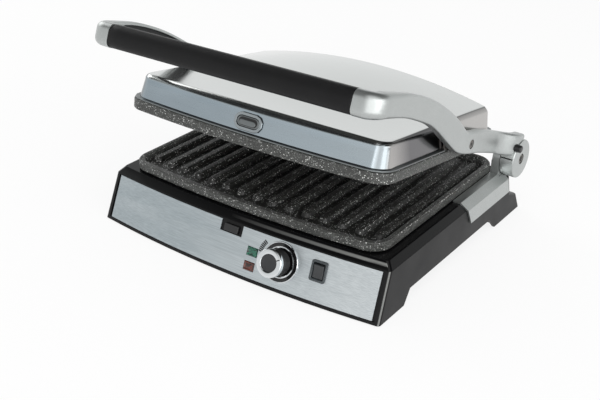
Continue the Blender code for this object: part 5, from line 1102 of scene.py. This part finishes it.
KNUCKLE_ROOM = 0.0201
PIN_BORE = 0.0053
LOCK_BORE = 0.0040
# The pivot screw's stepped bore, as (from the middle, radius) points, and where it is
PIVOT_STEPS = (
    (0.140, 0.0), (0.140, 0.0020), (0.1531, 0.0020), (0.1531, 0.0045), (0.1585, 0.0045), (0.1585, 0.0),
)
PIVOT_BORE = (0, -0.099594, 0.0090)
LOCK_TURN = math.radians(148 - 90)


def profile_height(profile, ahead):
    """Height of a drawn profile at a distance ahead, eased through its points."""
    index = 1
    while index < len(profile) - 2 and profile[index + 1][0] < ahead:
        index += 1
    last = len(profile) - 1
    before, low, high, after = (profile[min(max(index + step, 0), last)] for step in (-1, 0, 1, 2))
    width = high[0] - low[0]
    share = (ahead - low[0]) / width
    slope_low = (high[1] - before[1]) / (high[0] - before[0])
    slope_high = (after[1] - low[1]) / (after[0] - low[0])
    square = share * share
    cube = square * share
    rise = (2 * cube - 3 * square + 1) * low[1] + (cube - 2 * square + share) * width * slope_low
    return rise + (3 * square - 2 * cube) * high[1] + (cube - square) * width * slope_high


def arm_span(ahead):
    """Height of the arm's section at a distance ahead, and the level of its middle."""
    top = profile_height(ARM_TOP, ahead)
    bottom = profile_height(ARM_BOTTOM, ahead)
    return top - bottom, (top + bottom) / 2


def arm_section(outer, inward, thickness, height, edge):
    """The arm's section from a point on its outer face: large outer radii, small inner ones."""
    half = height / 2
    inner = 0.0022
    points = []
    corners = ((edge, half - edge, edge, 90), (edge, -half + edge, edge, 180))
    corners += ((thickness - inner, -half + inner, inner, 270), (thickness - inner, half - inner, inner, 0))
    for across, up, radius, start in corners:
        for step in range(7):
            angle = math.radians(start + 90 * step / 6)
            points.append((across + radius * math.cos(angle), up + radius * math.sin(angle)))
    return [outer + inward * across + Vector((0, 0, up)) for across, up in points]


def arm_shape():
    """The right arm's bar from the hinge boss forward to the grip."""
    rings = []
    corner_start = ARM_REACH - ARM_CORNER
    count = 70
    first = FLARE_TO - 0.0088
    # Straight forward from the boss
    for step in range(count + 1):
        ahead = first + (corner_start - first) * step / count
        height, middle = arm_span(ahead)
        flare = eased((FLARE_FROM - ahead) / (FLARE_FROM - FLARE_TO))
        outer = ARM_OUTER + (BOSS_OUTER - BOSS_EDGE - ARM_OUTER) * flare
        inner = ARM_INNER + (BOSS_INNER - ARM_INNER) * flare
        taper = eased((ahead - TAPER_FROM) / (ARM_REACH - TAPER_FROM))
        thickness = outer - inner + (ARM_END - (ARM_OUTER - ARM_INNER)) * taper
        edge = ARM_EDGE + ARM_EDGE_GROWS * taper
        spot = Vector((outer, -ahead, middle))
        rings.append(arm_section(spot, Vector((-1, 0, 0)), thickness, height, edge))
    # Round the corner towards the grip, and square on to its end
    for step in range(1, 15):
        share = step / 14
        angle = math.radians(90) * share
        outward = Vector((math.cos(angle), -math.sin(angle), 0))
        height, middle = arm_span(corner_start + ARM_CORNER * math.sin(angle))
        spot = Vector((ARM_OUTER - ARM_CORNER, -corner_start, middle)) + outward * ARM_CORNER
        taper = eased((corner_start + ARM_CORNER * share - TAPER_FROM) / (ARM_REACH - TAPER_FROM))
        thickness = ARM_THICK + (ARM_END - ARM_THICK) * taper
        rings.append(arm_section(spot, -outward, thickness, height, ARM_EDGE + ARM_EDGE_GROWS * taper))
    height, middle = arm_span(ARM_REACH)
    end = Vector((GRIP_HALF + 0.0003, -ARM_REACH, middle))
    rings.append(arm_section(end, Vector((0, 1, 0)), ARM_END, height, ARM_EDGE + ARM_EDGE_GROWS))
    return loft(rings)


def arm_hollow(inner, outer, gap):
    """The hollow in an arm's inner side, between two distances from the middle, held back by a gap."""
    start, stop, wall = HOLLOW_FROM + gap, HOLLOW_TO - gap, HOLLOW_WALL + gap
    rings = []
    for step in range(25):
        ahead = start + (stop - start) * step / 24
        height, middle = arm_span(ahead)
        room = height / 2 - wall
        room *= math.sqrt(max(0.12, 1 - max(0.0, abs(step / 12 - 1) - 0.8) ** 2 * 22))
        corners = ((inner, -room), (outer, -room), (outer, room), (inner, room))
        rings.append([Vector((x, -ahead, middle + z)) for x, z in corners])
    return loft(rings)


def along_x(bm, centre=(0, 0, 0)):
    """A shape turned about Y laid along X instead, about a point."""
    bm.transform(Matrix.Translation(centre) @ Matrix.Rotation(math.radians(-90), 4, "Z"))
    return bm


def bar(start, stop, radius, steps, centre=(0, 0, 0)):
    """A round bar along X, or one with flat sides where the steps are few."""
    return along_x(lathe([(start, 0.0), (start, radius), (stop, radius), (stop, 0.0)], steps), centre)


def boss_shape():
    """The right arm's round hinge boss, with a rounded outer edge."""
    edge, start = BOSS_EDGE, BOSS_OUTER - BOSS_EDGE
    profile = [(BOSS_INNER, 0.0), (BOSS_INNER, BOSS_RADIUS), (start, BOSS_RADIUS)]
    profile += [(start + edge * math.sin(a), BOSS_RADIUS - edge + edge * math.cos(a)) for a in arc(5)]
    profile += [(BOSS_OUTER, BOSS_RADIUS - edge), (BOSS_OUTER, 0.0)]
    return along_x(lathe(profile, 96))


class GRILL_OT_arms(bpy.types.Operator):
    """Lacquered arms with their hinge bosses, the grip, pins and lock slider"""

    bl_idname = "grill.arms"
    bl_label = "Arms and grip"

    def execute(self, context):
        for side, sign in (("left", -1), ("right", 1)):
            self.arm(side, IN_ARMS @ Matrix.Scale(sign, 4, (1, 0, 0)))
        softened("lock_slider", finish("black"), "lock_slider", 0.0006, 3)
        self.grip()
        frame["nodes"]["grip_core"].data.materials[0] = finish("zinc")
        return {"FINISHED"}

    def arm(self, side, flip):
        """One arm with its boss, bores and hollow, and the pins and screws in it."""
        node = f"arm_{side}"
        silver = finish("silver")
        arm = piece(f"{node}_finished", arm_shape(), silver, "arms", [node], flip, 40)
        combined(arm, "UNION", boss_shape(), flip)
        # Room for the tower's knuckle, then the bores of the hinge pin, pivot screw and lock slider
        combined(arm, "DIFFERENCE", bar(0.140, BOSS_INNER, KNUCKLE_ROOM, 96), flip)
        combined(arm, "DIFFERENCE", bar(0.150, 0.172, PIN_BORE, 48), flip)
        combined(arm, "DIFFERENCE", along_x(lathe(PIVOT_STEPS, 40), PIVOT_BORE), flip)
        if side == "right":
            channel = bar(0.1567, 0.172, LOCK_BORE, 40, (0, 0, BOSS_RADIUS - 0.0004))
            combined(arm, "DIFFERENCE", channel, IN_ARMS @ Matrix.Rotation(LOCK_TURN, 4, "X"))
        combined(arm, "DIFFERENCE", arm_hollow(ARM_INNER - 0.009, ARM_INNER + 0.0050, 0), flip)
        finished(arm.data, 40)
        # A dark sheet lines the hollow's floor
        lining = arm_hollow(ARM_INNER + 0.0040, ARM_INNER + 0.0048, 0.0001)
        piece(f"{node}_lining", lining, finish("black"), "arms", (), flip)
        softened(f"hinge_pin_{side}", finish("dark_plate"), "hinge_pins", 0.0004, 2)
        softened(f"pivot_screw_{side}", finish("dark_plate"), "arms", 0.0004, 2)
        heads = ((f"hinge_pin_{side}", "hinge_pins", 0.0022), (f"pivot_screw_{side}", "arms", 0.0019))
        # Painted shade: a black hexagon on each head stands for the shade in its hexagon socket
        for head, body, radius in heads:
            low, high = node_span(head, flip)
            centre = (0, (low.y + high.y) / 2, (low.z + high.z) / 2)
            socket = bar(high.x - 0.0002, high.x + 0.00005, radius, 6, centre)
            piece(f"{head}_socket", socket, finish("ink"), body, (), flip)
        softened(f"pivot_bush_{side}", finish("brass"), "arms", 0.0002, 1)

    def grip(self):
        """The soft grip between the arms, with the bore for its core."""
        low, high = node_span("grip", IN_ARMS)
        depth = high.y - low.y
        outline = grip_outline(depth, high.z - low.z)
        middle = Vector((0, low.y, (low.z + high.z) / 2))
        rings = []
        for x, shrink in grip_stations():
            section = [(depth / 2 + (y - depth / 2) * shrink, z * shrink) for y, z in outline]
            rings.append([Vector((x, y, z)) + middle for y, z in section])
        grip = piece("grip_finished", loft(rings), finish("grip"), "arms", ["grip"], IN_ARMS, 35)
        core = bar(-0.135, 0.135, 0.0049, 32, (0, -ARM_REACH + ARM_END / 2, middle.z))
        combined(grip, "DIFFERENCE", core, IN_ARMS)
        finished(grip.data, 35)


def grip_stations():
    """Places along the grip with a shrink that rounds its two end edges."""
    half = GRIP_HALF
    rows = [(-half, 0.955), (-half + 0.0003, 0.98), (-half + 0.0009, 1.0)]
    rows += [(-half + 2 * half * s / 24, 1.0) for s in range(1, 24)]
    return rows + [(half - 0.0009, 1.0), (half - 0.0003, 0.98), (half, 0.955)]


def grip_outline(depth, tall):
    """The grip's section as (y, z): a flat back and top, a swelling front."""
    half = tall / 2
    nose = depth * 0.42
    edge = 0.0022
    points = []
    for step in range(25):
        angle = math.radians(-90 + 180 * step / 24)
        points.append((nose * (1 - math.cos(angle)), half * math.sin(angle)))
    for start, y, z in ((90, depth - edge, half - edge), (0, depth - edge, -half + edge)):
        for step in range(6):
            angle = math.radians(start - 90 * step / 5)
            points.append((y + edge * math.cos(angle), z + edge * math.sin(angle)))
    return points


# Fasteners, feet and inner pieces

CORNERS = [f"{end}_{side}" for end in ("front", "rear") for side in ("left", "right")]
# Words in the names of inner nodes, and their finishes; the first word that fits counts
INNER_FINISHES = {
    "plate_clip": "zinc", "shaft": "zinc", "element": "sheath", "reflector": "alloy", "thermostat": "ceramic",
    "terminal": "ceramic", "fuse": "brass", "spring": "zinc", "holder": "ceramic",
}


class GRILL_OT_fasteners(bpy.types.Operator):
    """Rubber feet and the screws of the floor"""

    bl_idname = "grill.fasteners"
    bl_label = "Feet and screws"

    def execute(self, context):
        feet = [f"rubber_foot_{corner}" for corner in CORNERS]
        low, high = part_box(feet[0])
        radius = (high.x - low.x) / 2
        tall = high.z - low.z
        # The sole with a shallow groove near its edge, then the rounded side and the top
        foot = turned(0.0, radius, ((0, -0.0034), (0.0003, -0.0030), (0.0003, -0.0026), (0, -0.0022)))
        foot += [(0.0004, radius - 0.0014), (tall - 0.0005, radius), (tall, radius - 0.0003), (tall, 0.0)]
        foot = lathe([(0.0, 0.0)] + foot, 48)
        foot.transform(Matrix.Rotation(math.radians(90), 4, "X"))
        spots = [sum(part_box(node), Vector()) / 2 for node in feet]
        soles = repeated_at(foot, [Vector((spot.x, spot.y, low.z)) for spot in spots], "rubber")
        piece("rubber_feet", soles, finish("rubber"), "base", feet)
        for corner in CORNERS:
            softened(f"base_screw_{corner}", finish("zinc"), "base", 0.0003, 2)
        return {"FINISHED"}


class GRILL_OT_inner(bpy.types.Operator):
    """Heaters, reflectors and the other pieces inside keep their CAD shape"""

    bl_idname = "grill.inner"
    bl_label = "Inner pieces"

    def execute(self, context):
        for node, built in frame["nodes"].items():
            surface = next((name for word, name in INNER_FINISHES.items() if word in node), None)
            if surface and not built.hide_render:
                built.data.materials.clear()
                built.data.materials.append(finish(surface))
        return {"FINISHED"}


# Stage

# The photograph's camera, solved from the object's edges. Its aim from BASE_PLACE, its distance and its two
# shifts are in millimetres
CAMERA_LENS = 59.1426
CAMERA_TURN = math.radians(35.38776543)
CAMERA_UP = math.radians(27.39972977)
CAMERA_ROLL = math.radians(0.91065389)
CAMERA_AIM = Vector((0, 150, 60))
CAMERA_BACK = 993.32775
CAMERA_LEFT = 23.74675
CAMERA_DOWN = 44.96577
FLOOR_REACH = 6.0
FLOOR_GLOW = 0.84
ROOM_LIGHT = 0.64
# Height above the horizon in degrees, and the studio's tone there
STUDIO = (
    (-90, "#F4F5F6"), (0, "#F6F7F7"), (18, "#F1F2F2"), (27, "#DCDEDD"), (35, "#6A6B6A"), (42, "#3A3B3A"),
    (70, "#333433"), (90, "#555656"),
)
# Soft lamps: name, place, what it faces, width and height, watts
LIGHTS = (
    ("key", (0.9, -1.2, 1.9), (0, 0, 0.08), (2.3, 1.9), 15.0),
    ("front", (1.5, -1.5, 0.75), (0.1, -0.1, 0.12), (3.2, 1.6), 20.0),
    ("right", (2.1, -0.5, 0.7), (0.1, 0, 0.12), (1.6, 1.2), 10.0),
    ("side", (-1.7, 0.3, 1.1), (0, 0, 0.08), (1.0, 1.2), 7.0),
)


def seen_directly(tree):
    """1 for what the camera sees, also in metal and through glass."""
    rays = add_node(tree, "ShaderNodeLightPath").outputs
    either = add_node(tree, MATH, (rays["Is Camera Ray"], rays["Is Glossy Ray"]), operation="MAXIMUM")
    return add_node(tree, MATH, (either, rays["Is Transmission Ray"]), operation="MAXIMUM")


class GRILL_OT_stage(bpy.types.Operator):
    """Pale floor, soft lights and the photograph's camera"""

    bl_idname = "grill.stage"
    bl_label = "Stage"

    def execute(self, context):
        scene = context.scene
        scene.view_settings.view_transform = "Standard"
        self.camera(scene)
        self.floor(scene)
        self.world(scene)
        for name, spot, aim, size, power in LIGHTS:
            lamp = bpy.data.lights.new(name, "AREA")
            lamp.shape = "RECTANGLE"
            lamp.size, lamp.size_y = size
            lamp.energy = power
            light = bpy.data.objects.new(name, lamp)
            scene.collection.objects.link(light)
            away = (Vector(aim) - Vector(spot)).to_track_quat("-Z", "Y")
            light.matrix_world = Matrix.Translation(spot) @ away.to_matrix().to_4x4()
        return {"FINISHED"}

    def camera(self, scene):
        """A camera where the photograph's one stood."""
        camera = bpy.data.cameras.new("camera")
        camera.sensor_width = 36
        camera.lens = CAMERA_LENS
        camera.clip_start = 0.05
        camera.clip_end = 20
        shot = bpy.data.objects.new("camera", camera)
        scene.collection.objects.link(shot)
        turn, up, roll = CAMERA_TURN, CAMERA_UP, CAMERA_ROLL
        back = Vector((math.sin(turn) * math.cos(up), -math.cos(turn) * math.cos(up), math.sin(up)))
        right = (-back).cross(Vector((0, 0, 1))).normalized()
        level = right.cross(-back)
        x_axis = right * math.cos(roll) + level * math.sin(roll)
        y_axis = -right * math.sin(roll) + level * math.cos(roll)
        spot = CAMERA_AIM + back * CAMERA_BACK - x_axis * CAMERA_LEFT - y_axis * CAMERA_DOWN
        axes = Matrix((x_axis, y_axis, back)).transposed().to_4x4()
        shot.matrix_world = Matrix.Translation(BASE_PLACE + spot * MM) @ axes
        scene.camera = shot

    def floor(self, scene):
        """A plain white floor that keeps the grill's shadow."""
        mesh = bpy.data.meshes.new("floor")
        reach = FLOOR_REACH
        corners = [(-reach, -reach, 0), (reach, -reach, 0), (reach, reach, 0), (-reach, reach, 0)]
        mesh.from_pydata(corners, [], [(0, 1, 2, 3)])
        made, tree, _ = new_finish("floor_white")
        matt = {"Base Color": "#F4F4F4", "Roughness": 0.9, "Specular IOR Level": 0.0}
        lit = add_node(tree, "ShaderNodeBsdfPrincipled", matt)
        glow = add_node(tree, "ShaderNodeEmission", {"Color": "#FFFFFF", "Strength": 1.0})
        share = add_node(tree, MATH, (seen_directly(tree), FLOOR_GLOW), operation="MULTIPLY")
        mix = add_node(tree, "ShaderNodeMixShader", (share, lit, glow))
        add_node(tree, "ShaderNodeOutputMaterial", {"Surface": mix})
        mesh.materials.append(made)
        floor = bpy.data.objects.new("floor", mesh)
        scene.collection.objects.link(floor)

    def world(self, scene):
        """A pale studio under a dark ceiling for the eye, metal and glass, and plain light from all round."""
        world = bpy.data.worlds.new("studio")
        scene.world = world
        world.use_nodes = True
        tree = world.node_tree
        tree.nodes.clear()
        where = add_node(tree, "ShaderNodeTexCoord").outputs["Generated"]
        up = add_node(tree, AXES, (where,)).outputs["Z"]
        ramp = add_node(tree, "ShaderNodeValToRGB", (add_node(tree, RANGE, (up, -1, 1, 0, 1)),))
        stops = [((math.sin(math.radians(height)) + 1) / 2, colour) for height, colour in STUDIO]
        elements = ramp.color_ramp.elements
        elements[0].color = linear(stops[0][1])
        elements[1].position = stops[-1][0]
        elements[1].color = linear(stops[-1][1])
        for position, colour in stops[1:-1]:
            elements.new(position).color = linear(colour)
        shown = add_node(tree, "ShaderNodeBackground", {"Color": ramp, "Strength": 1.0})
        plain = add_node(tree, "ShaderNodeBackground", {"Color": "#FFFFFF", "Strength": ROOM_LIGHT})
        mix = add_node(tree, "ShaderNodeMixShader", (seen_directly(tree), plain, shown))
        add_node(tree, "ShaderNodeOutputWorld", {"Surface": mix})


# Panel and run


class GRILL_PT_sidebar(bpy.types.Panel):
    """The grill's settings and its pieces"""

    bl_idname = "GRILL_PT_sidebar"
    bl_label = "Contact grill"
    bl_space_type = "VIEW_3D"
    bl_region_type = "UI"
    bl_category = "Grill"

    def draw(self, context):
        for name in GrillLooks.__annotations__:
            self.layout.prop(looks(), name)
        for operator in OPERATORS:
            self.layout.operator(operator.bl_idname)


OPERATORS = (
    GRILL_OT_base,
    GRILL_OT_fascia,
    GRILL_OT_knob,
    GRILL_OT_lamps,
    GRILL_OT_switch,
    GRILL_OT_plates,
    GRILL_OT_cover,
    GRILL_OT_latch,
    GRILL_OT_arms,
    GRILL_OT_fasteners,
    GRILL_OT_inner,
    GRILL_OT_stage,
)


def register():
    """Register the settings, operators and panel."""
    for kind in (GrillLooks,) + OPERATORS + (GRILL_PT_sidebar,):
        bpy.utils.register_class(kind)
    bpy.types.Scene.grill_looks = bpy.props.PointerProperty(type=GrillLooks)


def unregister():
    """Remove what register added."""
    del bpy.types.Scene.grill_looks
    for kind in reversed((GrillLooks,) + OPERATORS + (GRILL_PT_sidebar,)):
        bpy.utils.unregister_class(kind)


def main():
    """Build every piece."""
    register()
    FINISHES.clear()
    for operator in OPERATORS:
        module, name = operator.bl_idname.split(".")
        getattr(getattr(bpy.ops, module), name)()


if __name__ == "__main__":
    main()
